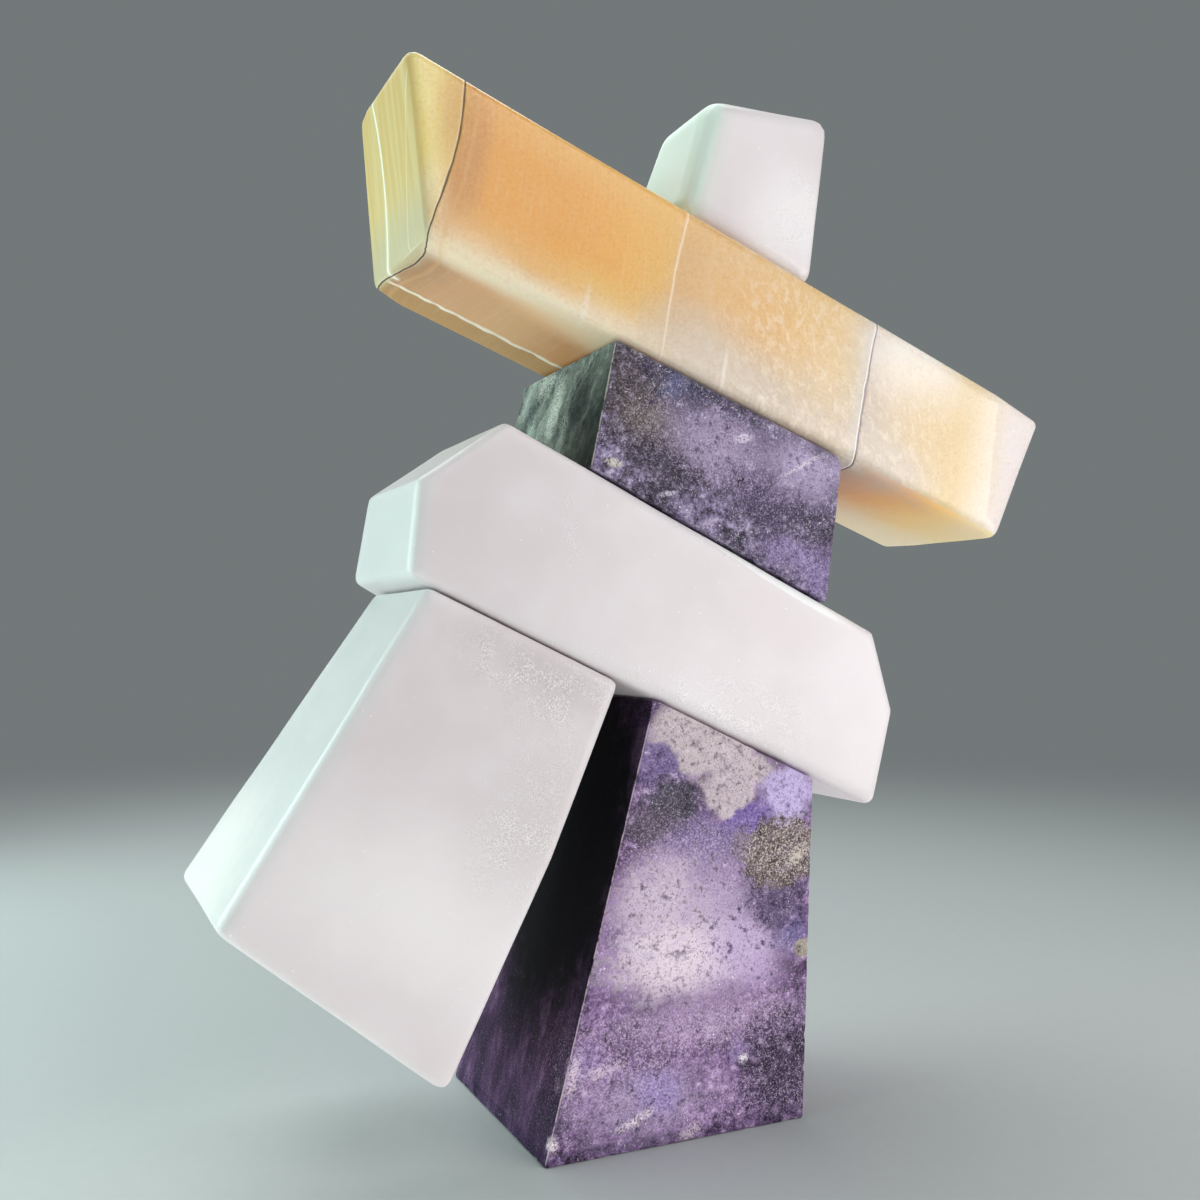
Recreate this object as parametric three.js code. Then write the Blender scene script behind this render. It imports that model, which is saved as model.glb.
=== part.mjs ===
// Inukshuk: a figure of six carved stones, in millimetres, +Z up.
//
// The origin is the centre of the standing leg's underside. All the stones show their flat
// fronts towards -Y, in one upright plane, and their depths are measured back from it. Two
// sloping beams, the hip and the arms, fall to the right and carry the other stones.

import * as THREE from 'three';
import { ConvexGeometry } from 'three/addons/geometries/ConvexGeometry.js';

// Beds between the stones, how finely a worn arris is rounded, and what counts as touching
const BED = 0.3;
const ARRIS_STEPS = 5;
const TOLERANCE = 1e-6;

// Standing leg. Leans are in degrees to the right of upright, going up
const LEG_BASE_WIDTH = 108.6;
const LEG_BASE_DEPTH = 100;
const LEG_HEIGHT = 158.5;
const LEG_TOP_DEPTH = 78;
const LEG_LEFT_LEAN = 14.9;
const LEG_RIGHT_LEAN = 2;
const LEG_NICK_LENGTH = 12;
const LEG_NICK_TILT = 12;
const LEG_NICK_TURN = 45;
const LEG_WEAR = 1;

// Hip beam. Reaches run along the beam from the standing leg's centre line
const HIP_SLOPE = 25;
const HIP_THICKNESS = 63.8;
const HIP_DEPTH = 92;
const HIP_LEFT_REACH = 113.3;
const HIP_RIGHT_REACH = 97.5;
const HIP_LEFT_SPLAY = 19.5;
const HIP_RIGHT_SPLAY = 11;
const HIP_LEFT_BEVEL_DROP = 33.3;
const HIP_LEFT_BEVEL_TURN = 30.5;
const HIP_RIGHT_BEVEL_DROP = 24.6;
const HIP_RIGHT_BEVEL_TURN = 42;
const HIP_END_DEPTH = 68;
const HIP_BACK_BEVEL_TILT = 20;
const HIP_BACK_BEVEL_TURN = 60;
const HIP_WEAR = 3.5;
const HIP_UNDER_WEAR = 5;

// Raised leg. Its gap is measured along the hip's underside, from the standing leg's shoulder
const SHIN_REACH = 96;
const SHIN_GAP = 14.7;
const SHIN_LENGTH = 129.5;
const SHIN_LEFT_LEAN = 32.2;
const SHIN_RIGHT_LEAN = 22.9;
const SHIN_KNEE_DROP = 67;
const SHIN_CALF_LEAN = 26.7;
const SHIN_FOOT_SLOPE = 39.6;
const SHIN_TOP_DEPTH = 70;
const SHIN_FOOT_DEPTH = 101;
const SHIN_WEAR = 3;
const SHIN_FOOT_WEAR = 6;

// Torso
const TORSO_OFFSET = 14.5;
const TORSO_WIDTH = 101.6;
const TORSO_HEIGHT = 55;
const TORSO_DEPTH = 92;
const TORSO_LEFT_LEAN = 12;
const TORSO_RIGHT_LEAN = 7.4;
const TORSO_WEAR = 1;
const TORSO_BACK_WEAR = 3;

// Arm beam. Reaches run along the beam from the torso's centre line
const ARM_SLOPE = 20.4;
const ARM_THICKNESS = 58.2;
const ARM_DEPTH = 77;
const ARM_LEFT_REACH = 119.4;
const ARM_RIGHT_REACH = 147.5;
const ARM_LEFT_SPLAY = 26.8;
const ARM_RIGHT_SPLAY = 6.6;
const ARM_RIDGE_DEPTH = 53;
const ARM_RIDGE_TURN = 4;
const ARM_END_DEPTH = 70;
const ARM_END_BEVEL_TILT = 12;
const ARM_END_BEVEL_TURN = 62;
const ARM_FLAT_REACH = 139;
const ARM_FLAT_SPLAY = 13;
const ARM_FLAT_TURN = 82;
const ARM_WEAR = 3;
const ARM_FRONT_WEAR = 6;
const ARM_UNDER_WEAR = 8;

// Head
const HEAD_OFFSET = 18.5;
const HEAD_WIDTH = 58.3;
const HEAD_HEIGHT = 58;
const HEAD_SETBACK = 5;
const HEAD_BASE_DEPTH = 60;
const HEAD_TOP_DEPTH = 45;
const HEAD_LEFT_LEAN = 15.8;
const HEAD_RIGHT_LEAN = 8.1;
const HEAD_WEAR = 5.5;
const HEAD_LEFT_WEAR = 13;
const HEAD_TOP_WEAR = 8;

// The upright plane that all the fronts share
const FRONT = -LEG_BASE_DEPTH / 2;

const radians = THREE.MathUtils.degToRad;
const degrees = THREE.MathUtils.radToDeg;

// Directions in which a face can look, in degrees up from +X
const RIGHT = 0;
const UP = degrees(Math.PI / 2);
const LEFT = degrees(Math.PI);
const DOWN = degrees(-Math.PI / 2);

/** A flat face of a stone, through a point; wear is how far its arrises are rounded. */
function face(normal, point, wear) {
  const plane = new THREE.Plane();
  plane.setFromNormalAndCoplanarPoint(normal.normalize(), point);
  return { plane, wear };
}

/**
 * A face that looks to one side, up or down, and passes through (x, z). It runs straight back,
 * or is turned to look backward by some degrees from a ridge at the depth given.
 */
function side(looks, x, z, wear, turn = 0, depth = 0) {
  const out = Math.cos(radians(turn));
  const normal = new THREE.Vector3(
    Math.cos(radians(looks)) * out,
    Math.sin(radians(turn)),
    Math.sin(radians(looks)) * out,
  );
  return face(normal, new THREE.Vector3(x, FRONT + depth, z), wear);
}

/** The front face, set back from the shared front plane by some distance. */
function front(wear, setback = 0) {
  return face(new THREE.Vector3(0, -1, 0), new THREE.Vector3(0, FRONT + setback, 0), wear);
}

/** The back face, one depth behind the front plane at the point from, another at to: [x, z]. */
function back(wear, depth, endDepth = depth, from = [0, 0], to = [0, 1]) {
  const run = new THREE.Vector2(to[0] - from[0], to[1] - from[1]);
  const growth = (endDepth - depth) / run.lengthSq();
  const normal = new THREE.Vector3(-run.x * growth, 1, -run.y * growth);
  return face(normal, new THREE.Vector3(from[0], FRONT + depth, from[1]), wear);
}

/** The point at which three planes meet, each moved inward by inset, or null where two are parallel. */
function meeting(planes, inset) {
  const [a, b, c] = planes.map((plane) => plane.normal);
  const scale = a.dot(new THREE.Vector3().crossVectors(b, c));
  if (Math.abs(scale) < TOLERANCE) {
    return null;
  }
  const [reachA, reachB, reachC] = planes.map((plane) => -plane.constant - inset);
  return new THREE.Vector3()
    .addScaledVector(new THREE.Vector3().crossVectors(b, c), reachA / scale)
    .addScaledVector(new THREE.Vector3().crossVectors(c, a), reachB / scale)
    .addScaledVector(new THREE.Vector3().crossVectors(a, b), reachC / scale);
}

/** Every set of three faces that meet in a real corner of the stone. */
function cornersOf(faces) {
  const corners = [];
  for (let i = 0; i < faces.length; i += 1) {
    for (let j = i + 1; j < faces.length; j += 1) {
      for (let k = j + 1; k < faces.length; k += 1) {
        const trio = [faces[i], faces[j], faces[k]];
        const point = meeting(trio.map((f) => f.plane), 0);
        const real = point && faces.every((f) => f.plane.distanceToPoint(point) < TOLERANCE);
        if (real) {
          corners.push(trio);
        }
      }
    }
  }
  return corners;
}

/** Points over the rounded corner between three faces, which all stay tangent to it. */
function roundedCorner(trio) {
  const radius = trio.reduce((sum, f) => sum + f.wear, 0) / trio.length;
  const planes = trio.map((f) => f.plane);
  const centre = meeting(planes, radius);
  const points = [];
  for (let i = 0; i <= ARRIS_STEPS; i += 1) {
    for (let j = 0; i + j <= ARRIS_STEPS; j += 1) {
      const share = [i, j, ARRIS_STEPS - i - j];
      const outward = new THREE.Vector3();
      planes.forEach((plane, n) => outward.addScaledVector(plane.normal, share[n]));
      points.push(outward.setLength(radius).add(centre));
    }
  }
  return points;
}

/** A solid stone with the given flat faces and worn arrises between them. */
function carve(faces) {
  return new ConvexGeometry(cornersOf(faces).flatMap(roundedCorner));
}

/** A named stone, with the finish of its kind. */
function stone(name, faces, finish) {
  const mesh = new THREE.Mesh(carve(faces), new THREE.MeshStandardMaterial(finish));
  mesh.name = name;
  return mesh;
}

const ALABASTER = { color: 0xdcd8da, roughness: 0.35, metalness: 0 };
const LEPIDOLITE = { color: 0x6f6087, roughness: 0.55, metalness: 0 };
const CALCITE = { color: 0xe6b87c, roughness: 0.25, metalness: 0 };

/** The height of the standing leg's shoulder, where its left side meets the hip's underside. */
function shoulderHeight() {
  const slope = Math.tan(radians(HIP_SLOPE));
  const lean = Math.tan(radians(LEG_LEFT_LEAN));
  return (LEG_HEIGHT + LEG_BASE_WIDTH / 2 * slope) / (1 + lean * slope);
}

/** How far right of the centre line the standing leg's left side is, at some height. */
function leftSideAt(height) {
  return height * Math.tan(radians(LEG_LEFT_LEAN)) - LEG_BASE_WIDTH / 2;
}

/** The block that the figure stands on, cut along the hip's underside at its top. */
function standingLeg() {
  const halfWidth = LEG_BASE_WIDTH / 2;
  const nickHeight = shoulderHeight() - LEG_NICK_LENGTH * Math.cos(radians(LEG_LEFT_LEAN));
  const nickLooks = LEFT - LEG_LEFT_LEAN - LEG_NICK_TILT;
  return stone('standing_leg', [
    side(DOWN, 0, 0, LEG_WEAR),
    side(LEFT - LEG_LEFT_LEAN, -halfWidth, 0, LEG_WEAR),
    side(RIGHT - LEG_RIGHT_LEAN, halfWidth, 0, LEG_WEAR),
    side(UP - HIP_SLOPE, 0, LEG_HEIGHT, LEG_WEAR),
    side(nickLooks, leftSideAt(nickHeight), nickHeight, LEG_WEAR, -LEG_NICK_TURN),
    front(LEG_WEAR),
    back(LEG_WEAR, LEG_BASE_DEPTH, LEG_TOP_DEPTH, [0, 0], [0, LEG_HEIGHT]),
  ], LEPIDOLITE);
}

/** The lower beam, modelled level with its underside at z = 0. */
function hipBeam() {
  const leftShoulder = HIP_THICKNESS - HIP_LEFT_BEVEL_DROP;
  const leftTip = HIP_LEFT_REACH + leftShoulder * Math.tan(radians(HIP_LEFT_SPLAY));
  const rightShoulder = HIP_THICKNESS - HIP_RIGHT_BEVEL_DROP;
  const rightTip = HIP_RIGHT_REACH - rightShoulder * Math.tan(radians(HIP_RIGHT_SPLAY));
  const backBevelLooks = LEFT - HIP_BACK_BEVEL_TILT;
  return stone('hip_beam', [
    side(DOWN, 0, 0, HIP_UNDER_WEAR),
    side(UP, 0, HIP_THICKNESS, HIP_WEAR),
    side(LEFT + HIP_LEFT_SPLAY, -HIP_LEFT_REACH, 0, HIP_WEAR),
    side(LEFT - HIP_LEFT_BEVEL_TURN, -leftTip, leftShoulder, HIP_WEAR),
    side(RIGHT + HIP_RIGHT_SPLAY, HIP_RIGHT_REACH, 0, HIP_WEAR),
    side(RIGHT + HIP_RIGHT_BEVEL_TURN, rightTip, rightShoulder, HIP_WEAR),
    side(backBevelLooks, -leftTip, leftShoulder, HIP_WEAR, HIP_BACK_BEVEL_TURN, HIP_END_DEPTH),
    front(HIP_WEAR),
    back(HIP_WEAR, HIP_DEPTH),
  ], ALABASTER);
}

/** The white leg under the hip's left end, its origin on the standing leg's centre line. */
function raisedLeg() {
  const slope = radians(HIP_SLOPE);
  const left = [-SHIN_REACH, SHIN_REACH * Math.tan(slope)];
  const right = [
    leftSideAt(shoulderHeight()) - SHIN_GAP * Math.cos(slope),
    shoulderHeight() - LEG_HEIGHT + SHIN_GAP * Math.sin(slope),
  ];
  const knee = [
    right[0] - SHIN_KNEE_DROP * Math.sin(radians(SHIN_RIGHT_LEAN)),
    right[1] - SHIN_KNEE_DROP * Math.cos(radians(SHIN_RIGHT_LEAN)),
  ];
  const heel = [
    left[0] - SHIN_LENGTH * Math.sin(radians(SHIN_LEFT_LEAN)),
    left[1] - SHIN_LENGTH * Math.cos(radians(SHIN_LEFT_LEAN)),
  ];
  return stone('raised_leg', [
    side(UP - HIP_SLOPE, 0, 0, SHIN_WEAR),
    side(LEFT - SHIN_LEFT_LEAN, ...left, SHIN_WEAR),
    side(RIGHT - SHIN_RIGHT_LEAN, ...right, SHIN_WEAR),
    side(RIGHT - SHIN_CALF_LEAN, ...knee, SHIN_WEAR),
    side(DOWN - SHIN_FOOT_SLOPE, ...heel, SHIN_FOOT_WEAR),
    front(SHIN_WEAR),
    back(SHIN_WEAR, SHIN_TOP_DEPTH, SHIN_FOOT_DEPTH, left, heel),
  ], ALABASTER);
}

/** The block between the beams, its origin on the hip's top face at its own centre line. */
function torso() {
  const halfWidth = TORSO_WIDTH / 2;
  const fall = halfWidth * Math.tan(radians(HIP_SLOPE));
  return stone('torso', [
    side(DOWN - HIP_SLOPE, 0, 0, TORSO_WEAR),
    side(UP - ARM_SLOPE, 0, TORSO_HEIGHT, TORSO_WEAR),
    side(LEFT - TORSO_LEFT_LEAN, -halfWidth, fall, TORSO_WEAR),
    side(RIGHT - TORSO_RIGHT_LEAN, halfWidth, -fall, TORSO_WEAR),
    front(TORSO_WEAR),
    back(TORSO_BACK_WEAR, TORSO_DEPTH),
  ], LEPIDOLITE);
}

/** The upper beam, modelled level with its underside at z = 0, with a ridge behind its middle. */
function armBeam() {
  const leftEnd = LEFT + ARM_LEFT_SPLAY;
  const bevelLooks = leftEnd - ARM_END_BEVEL_TILT;
  const flatLooks = RIGHT + ARM_FLAT_SPLAY;
  return stone('arm_beam', [
    side(DOWN, 0, 0, ARM_UNDER_WEAR),
    side(DOWN, 0, 0, ARM_WEAR, ARM_RIDGE_TURN, ARM_RIDGE_DEPTH),
    side(UP, 0, ARM_THICKNESS, ARM_WEAR),
    side(leftEnd, -ARM_LEFT_REACH, 0, ARM_WEAR),
    side(leftEnd, -ARM_LEFT_REACH, 0, ARM_WEAR, ARM_RIDGE_TURN, ARM_RIDGE_DEPTH),
    side(bevelLooks, -ARM_LEFT_REACH, 0, ARM_WEAR, ARM_END_BEVEL_TURN, ARM_END_DEPTH),
    side(RIGHT - ARM_RIGHT_SPLAY, ARM_RIGHT_REACH, 0, ARM_WEAR),
    side(flatLooks, ARM_FLAT_REACH, 0, ARM_WEAR, -ARM_FLAT_TURN),
    front(ARM_FRONT_WEAR),
    back(ARM_WEAR, ARM_DEPTH),
  ], CALCITE);
}

/** The top stone, its origin on the arms' top face at its own centre line. */
function head() {
  const halfWidth = HEAD_WIDTH / 2;
  const fall = halfWidth * Math.tan(radians(ARM_SLOPE));
  const baseDepth = HEAD_SETBACK + HEAD_BASE_DEPTH;
  const topDepth = HEAD_SETBACK + HEAD_TOP_DEPTH;
  return stone('head', [
    side(DOWN - ARM_SLOPE, 0, 0, HEAD_WEAR),
    side(UP, 0, HEAD_HEIGHT, HEAD_TOP_WEAR),
    side(LEFT - HEAD_LEFT_LEAN, -halfWidth, fall, HEAD_LEFT_WEAR),
    side(RIGHT - HEAD_RIGHT_LEAN, halfWidth, -fall, HEAD_WEAR),
    front(HEAD_WEAR, HEAD_SETBACK),
    back(HEAD_WEAR, baseDepth, topDepth, [0, 0], [0, HEAD_HEIGHT]),
  ], ALABASTER);
}

/** A beam turned to its slope, its underside one bed above the origin of its group. */
function sloped(beam, slope) {
  beam.rotation.y = radians(slope);
  beam.position.set(BED * Math.sin(radians(slope)), 0, BED * Math.cos(radians(slope)));
  return beam;
}

/** A group for what stands on a sloping beam, at some distance to the right of its centre line. */
function standing(x, slope, thickness) {
  const group = new THREE.Group();
  const rise = (BED + thickness + BED) / Math.cos(radians(slope));
  group.position.set(x, 0, rise - x * Math.tan(radians(slope)));
  return group;
}

const onLeg = new THREE.Group();
onLeg.position.z = LEG_HEIGHT;
const onHip = standing(TORSO_OFFSET, HIP_SLOPE, HIP_THICKNESS);
const onTorso = new THREE.Group();
onTorso.position.z = TORSO_HEIGHT;
const onArms = standing(HEAD_OFFSET, ARM_SLOPE, ARM_THICKNESS);

onArms.add(head());
onTorso.add(sloped(armBeam(), ARM_SLOPE), onArms);
onHip.add(torso(), onTorso);
onLeg.add(sloped(hipBeam(), HIP_SLOPE), raisedLeg(), onHip);

const inukshuk = new THREE.Group();
inukshuk.add(standingLeg(), onLeg);

export default inukshuk;
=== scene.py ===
"""The looks of an inukshuk: a figure of six carved stones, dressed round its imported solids.

Meshes are in metres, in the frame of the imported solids. Values that end in _mm, and all
places and sizes inside the finishes, are in millimetres.
"""

import itertools
import logging
import math
from collections.abc import Callable, Mapping, Sequence
from dataclasses import dataclass, field
from enum import Enum, IntEnum

import bmesh
import bpy
import numpy as np
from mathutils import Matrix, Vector
from mathutils.bvhtree import BVHTree
from mathutils.geometry import delaunay_2d_cdt


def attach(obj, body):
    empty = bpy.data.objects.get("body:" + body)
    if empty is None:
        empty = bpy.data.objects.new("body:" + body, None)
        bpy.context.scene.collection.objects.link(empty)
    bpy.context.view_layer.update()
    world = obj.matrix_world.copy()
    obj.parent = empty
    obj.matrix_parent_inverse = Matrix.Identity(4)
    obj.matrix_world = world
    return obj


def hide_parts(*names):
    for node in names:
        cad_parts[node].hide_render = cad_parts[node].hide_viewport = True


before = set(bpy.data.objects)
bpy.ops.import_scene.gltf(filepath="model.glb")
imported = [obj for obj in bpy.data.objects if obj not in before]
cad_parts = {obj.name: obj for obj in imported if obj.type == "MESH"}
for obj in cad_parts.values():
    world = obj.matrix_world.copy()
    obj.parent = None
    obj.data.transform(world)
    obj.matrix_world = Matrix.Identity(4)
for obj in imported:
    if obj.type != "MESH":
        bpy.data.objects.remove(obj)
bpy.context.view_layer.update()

log = logging.getLogger("inukshuk")

MM = 0.001

Colour = tuple[float, float, float]
Triple = tuple[float, float, float]
Stops = tuple[tuple[float, int], ...]
Curve = tuple[tuple[float, float], ...]


def tint(code: int) -> Colour:
    """A linear colour for the shaders.

    Args:
        code: The colour as a picture shows it, such as 0xE6B87C.

    Returns:
        Its red, green and blue, each from 0 to 1.
    """
    shares = [(code >> shift & 0xFF) / 255 for shift in (16, 8, 0)]
    return tuple(s / 12.92 if s <= 0.04045 else ((s + 0.055) / 1.055) ** 2.4 for s in shares)


class MixPort(IntEnum):
    """Where a Mix node that blends colours takes its values and gives the result."""

    FACTOR = 0
    FIRST = 6
    SECOND = 7
    RESULT = 2


class Way(Enum):
    """How one colour goes over another, in Blender's words."""

    COVER = "MIX"
    SHADE = "MULTIPLY"
    LIGHTEN = "SCREEN"


class Channel:
    """One value that varies over a surface. Sums on it add Math nodes to its shader."""

    def __init__(self, shader: "Shader", made: bpy.types.Node, output: int | str) -> None:
        """Keeps the node and the output that give the value.

        Args:
            shader: The shader that the node belongs to.
            made: The node.
            output: The name or number of its output.
        """
        self.shader = shader
        self.made = made
        self.socket = made.outputs[output]

    def part(self, output: int | str) -> "Channel":
        """Another output of the same node.

        Args:
            output: Its name or number.

        Returns:
            That output as a channel.
        """
        return Channel(self.shader, self.made, output)

    def _sum(self, operation: str, *operands: "Channel | float") -> "Channel":
        """A Math node on some operands.

        Args:
            operation: What the node does, in Blender's word.
            operands: Channels or numbers, in order.

        Returns:
            The result.
        """
        return self.shader.node("ShaderNodeMath", {"operation": operation}, dict(enumerate(operands)))

    def __add__(self, other: "Channel | float") -> "Channel":
        """This plus the other."""
        return self._sum("ADD", self, other)

    def __radd__(self, other: float) -> "Channel":
        """The other plus this."""
        return self._sum("ADD", other, self)

    def __sub__(self, other: "Channel | float") -> "Channel":
        """This less the other."""
        return self._sum("SUBTRACT", self, other)

    def __rsub__(self, other: float) -> "Channel":
        """The other less this."""
        return self._sum("SUBTRACT", other, self)

    def __mul__(self, other: "Channel | float") -> "Channel":
        """This times the other."""
        return self._sum("MULTIPLY", self, other)

    def __rmul__(self, other: float) -> "Channel":
        """The other times this."""
        return self._sum("MULTIPLY", other, self)

    def __truediv__(self, other: "Channel | float") -> "Channel":
        """This divided by the other."""
        return self._sum("DIVIDE", self, other)

    def __rtruediv__(self, other: float) -> "Channel":
        """The other divided by this."""
        return self._sum("DIVIDE", other, self)

    def __or__(self, other: "Channel | float") -> "Channel":
        """The larger of this and the other."""
        return self._sum("MAXIMUM", self, other)

    def __abs__(self) -> "Channel":
        """This without its sign."""
        return self._sum("ABSOLUTE", self)


Feed = Channel | float | Sequence[float] | str


class Shader:
    """The node tree of one finish."""

    def __init__(self, name: str) -> None:
        """Makes an empty material.

        Args:
            name: The material's name.
        """
        self.material = bpy.data.materials.new(name)
        self.material.use_nodes = True
        self.tree = self.material.node_tree
        self.tree.nodes.clear()

    def node(
        self,
        kind: str,
        settings: Mapping[str, object] | None = None,
        feeds: Mapping[int | str, Feed] | None = None,
        output: int | str = 0,
    ) -> Channel | None:
        """Adds a node; every node of every finish comes from here.

        Args:
            kind: Blender's name for the type of node.
            settings: The node's own settings, with a ramp's stops under "stops".
            feeds: The values or links of its inputs, by name or number.
            output: The output that is wanted.

        Returns:
            That output as a channel, or None for a node that ends the tree.
        """
        made = self.tree.nodes.new(kind)
        for name, setting in (settings or {}).items():
            if name == "stops":
                self._set_stops(made.color_ramp, setting)
            else:
                setattr(made, name, setting)
        for name, feed in (feeds or {}).items():
            socket = made.inputs[name]
            if isinstance(feed, Channel):
                self.tree.links.new(feed.socket, socket)
            elif socket.type == "RGBA":
                socket.default_value = (*feed, 1.0)
            else:
                socket.default_value = feed
        return Channel(self, made, output) if made.outputs else None

    @staticmethod
    def _set_stops(ramp: bpy.types.ColorRamp, stops: Stops) -> None:
        """Gives a ramp its stops.

        Args:
            ramp: The ramp of a new node, which has two stops.
            stops: Pairs of a place from 0 to 1 and a colour code, in order.
        """
        while len(ramp.elements) < len(stops):
            ramp.elements.new(1.0)
        for element, (place, code) in zip(ramp.elements, stops):
            element.position = place
            element.color = (*tint(code), 1.0)

    def place(self) -> Channel:
        """Where a point of the surface is, in millimetres of the solids' frame."""
        metres = self.node("ShaderNodeTexCoord", output="Object")
        return self.node("ShaderNodeVectorMath", {"operation": "SCALE"}, {0: metres, "Scale": 1 / MM})

    def measure(self, name: str) -> Channel:
        """A measure in millimetres that the mesh holds at each of its points.

        Args:
            name: The name of the mesh's attribute.

        Returns:
            The measure.
        """
        return self.node("ShaderNodeAttribute", {"attribute_name": name}, output="Fac")

    def length(self, vector: Channel) -> Channel:
        """The length of a vector."""
        return self.node("ShaderNodeVectorMath", {"operation": "LENGTH"}, {0: vector}, "Value")

    def laid(
        self, place: Channel, size: Triple, turn: float = 0, tip: float = 0, centre: Triple = (0, 0, 0)
    ) -> Channel:
        """A place as it is seen from an ellipsoid, which reaches 1 at its surface.

        Args:
            place: The place in millimetres.
            size: The ellipsoid's radii.
            turn: How far it is turned about the depth axis, in degrees, clockwise from the front.
            tip: How far it is tipped about the axis from left to right, in degrees.
            centre: Its centre.

        Returns:
            The place in the ellipsoid's own axes and radii.
        """
        angles = (math.radians(tip), math.radians(turn), 0)
        feeds = {"Vector": place, "Location": centre, "Rotation": angles, "Scale": size}
        return self.node("ShaderNodeMapping", {"vector_type": "TEXTURE"}, feeds)

    def bent(self, place: Channel, size: float, reach: float) -> Channel:
        """A place pulled about, so that what is laid by it has no even shape.

        Args:
            place: The place in millimetres.
            size: The width of the pulls.
            reach: How far they go at most.

        Returns:
            The pulled place.
        """
        feeds = {"Vector": place, "Scale": 1 / size, "Detail": 3, "Roughness": 0.6}
        pull = self.node("ShaderNodeTexNoise", None, feeds, "Color")
        offset = self.node("ShaderNodeVectorMath", {"operation": "SUBTRACT"}, {0: pull, 1: (0.5, 0.5, 0.5)})
        feeds = {0: offset, 1: (2 * reach, 2 * reach, 2 * reach), 2: place}
        return self.node("ShaderNodeVectorMath", {"operation": "MULTIPLY_ADD"}, feeds)

    def noise(
        self, place: Channel, size: float = 1, detail: float = 3, rough: float = 0.5, warp: float = 0
    ) -> Channel:
        """A cloudy value about 0.5.

        Args:
            place: Where, in millimetres.
            size: The width of a cloud, in millimetres.
            detail: How many finer layers it has.
            rough: How strong the finer layers are.
            warp: How far it is pulled into curls.

        Returns:
            The value, mostly from 0.3 to 0.7.
        """
        feeds = {"Vector": place, "Scale": 1 / size, "Detail": detail, "Roughness": rough, "Distortion": warp}
        return self.node("ShaderNodeTexNoise", None, feeds, "Fac")

    def rise(self, value: Channel, low: float, high: float) -> Channel:
        """A smooth rise from 0 to 1, or a fall if low is the larger.

        Args:
            value: What it follows.
            low: Where it is 0.
            high: Where it is 1.

        Returns:
            The share.
        """
        if low > high:
            return 1 - self.rise(value, high, low)
        feeds = {"Value": value, "From Min": low, "From Max": high}
        return self.node("ShaderNodeMapRange", {"interpolation_type": "SMOOTHSTEP"}, feeds, "Result")

    def line(self, offset: Channel, width: float) -> Channel:
        """A thin line where an offset is nil.

        Args:
            offset: The distance from the line's middle.
            width: The line's half-width.

        Returns:
            1 on the line and 0 beside it.
        """
        return self.rise(abs(offset), width, width * 0.35)

    def flecks(self, place: Channel, spacing: float, width: float, share: float) -> Channel:
        """Small scattered specks of many sizes.

        Args:
            place: Where, in millimetres.
            spacing: The spacing of the places where a speck may be, in millimetres.
            width: A speck's largest half-width, in millimetres.
            share: The share of those places that have one.

        Returns:
            1 on a speck and 0 elsewhere.
        """
        feeds = {"Vector": place, "Scale": 1 / spacing}
        near = self.node("ShaderNodeTexVoronoi", None, feeds, "Distance")
        lot = self.node("ShaderNodeSeparateColor", None, {"Color": near.part("Color")}, "Red")
        size = self.rise(lot, 1 - share, 1) * (width / spacing)
        return self.rise(size - near, 0, 0.04)

    def slivers(self, place: Channel, length: float, width: float, turns: Sequence[float]) -> Channel:
        """Short bright strokes that lie in a few directions.

        Args:
            place: Where, in millimetres.
            length: A stroke's length.
            width: Its width.
            turns: The directions, in degrees from upright, clockwise from the front.

        Returns:
            1 on a stroke and 0 elsewhere.
        """
        strokes = None
        for turn in turns:
            seen = self.laid(place, (width, width * 2, length), turn, centre=(turn, 0, 0))
            stroke = self.rise(self.noise(seen, 1, 1), 0.69, 0.75)
            strokes = stroke if strokes is None else strokes | stroke
        return strokes

    def blend(self, share: Channel | float, first: Feed, second: Feed, way: Way = Way.COVER) -> Channel:
        """A blend of two colours.

        Args:
            share: 0 for the first, 1 for the second.
            first: A colour or a channel.
            second: A colour or a channel.
            way: How the second goes over the first.

        Returns:
            The blended colour.
        """
        feeds = {MixPort.FACTOR: share, MixPort.FIRST: first, MixPort.SECOND: second}
        settings = {"data_type": "RGBA", "blend_type": way.value}
        return self.node("ShaderNodeMix", settings, feeds, MixPort.RESULT)

    def ramp(self, share: Channel, stops: Stops) -> Channel:
        """A colour that changes along a value.

        Args:
            share: The value, from 0 to 1.
            stops: Pairs of a value and a colour code.

        Returns:
            The colour.
        """
        return self.node("ShaderNodeValToRGB", {"stops": stops}, {"Fac": share}, "Color")

    def relief(self, height: Channel) -> Channel:
        """A normal for relief too fine for the mesh.

        Args:
            height: The surface's height in millimetres.

        Returns:
            The normal.
        """
        feeds = {"Strength": 1.0, "Distance": MM, "Height": height}
        return self.node("ShaderNodeBump", None, feeds, "Normal")

    def close(self, feeds: Mapping[int | str, Feed]) -> bpy.types.Material:
        """Ends the tree with one surface.

        Args:
            feeds: The values or links of the surface's inputs.

        Returns:
            The finished material.
        """
        surface = self.node("ShaderNodeBsdfPrincipled", None, feeds)
        self.node("ShaderNodeOutputMaterial", None, {"Surface": surface})
        return self.material


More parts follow.
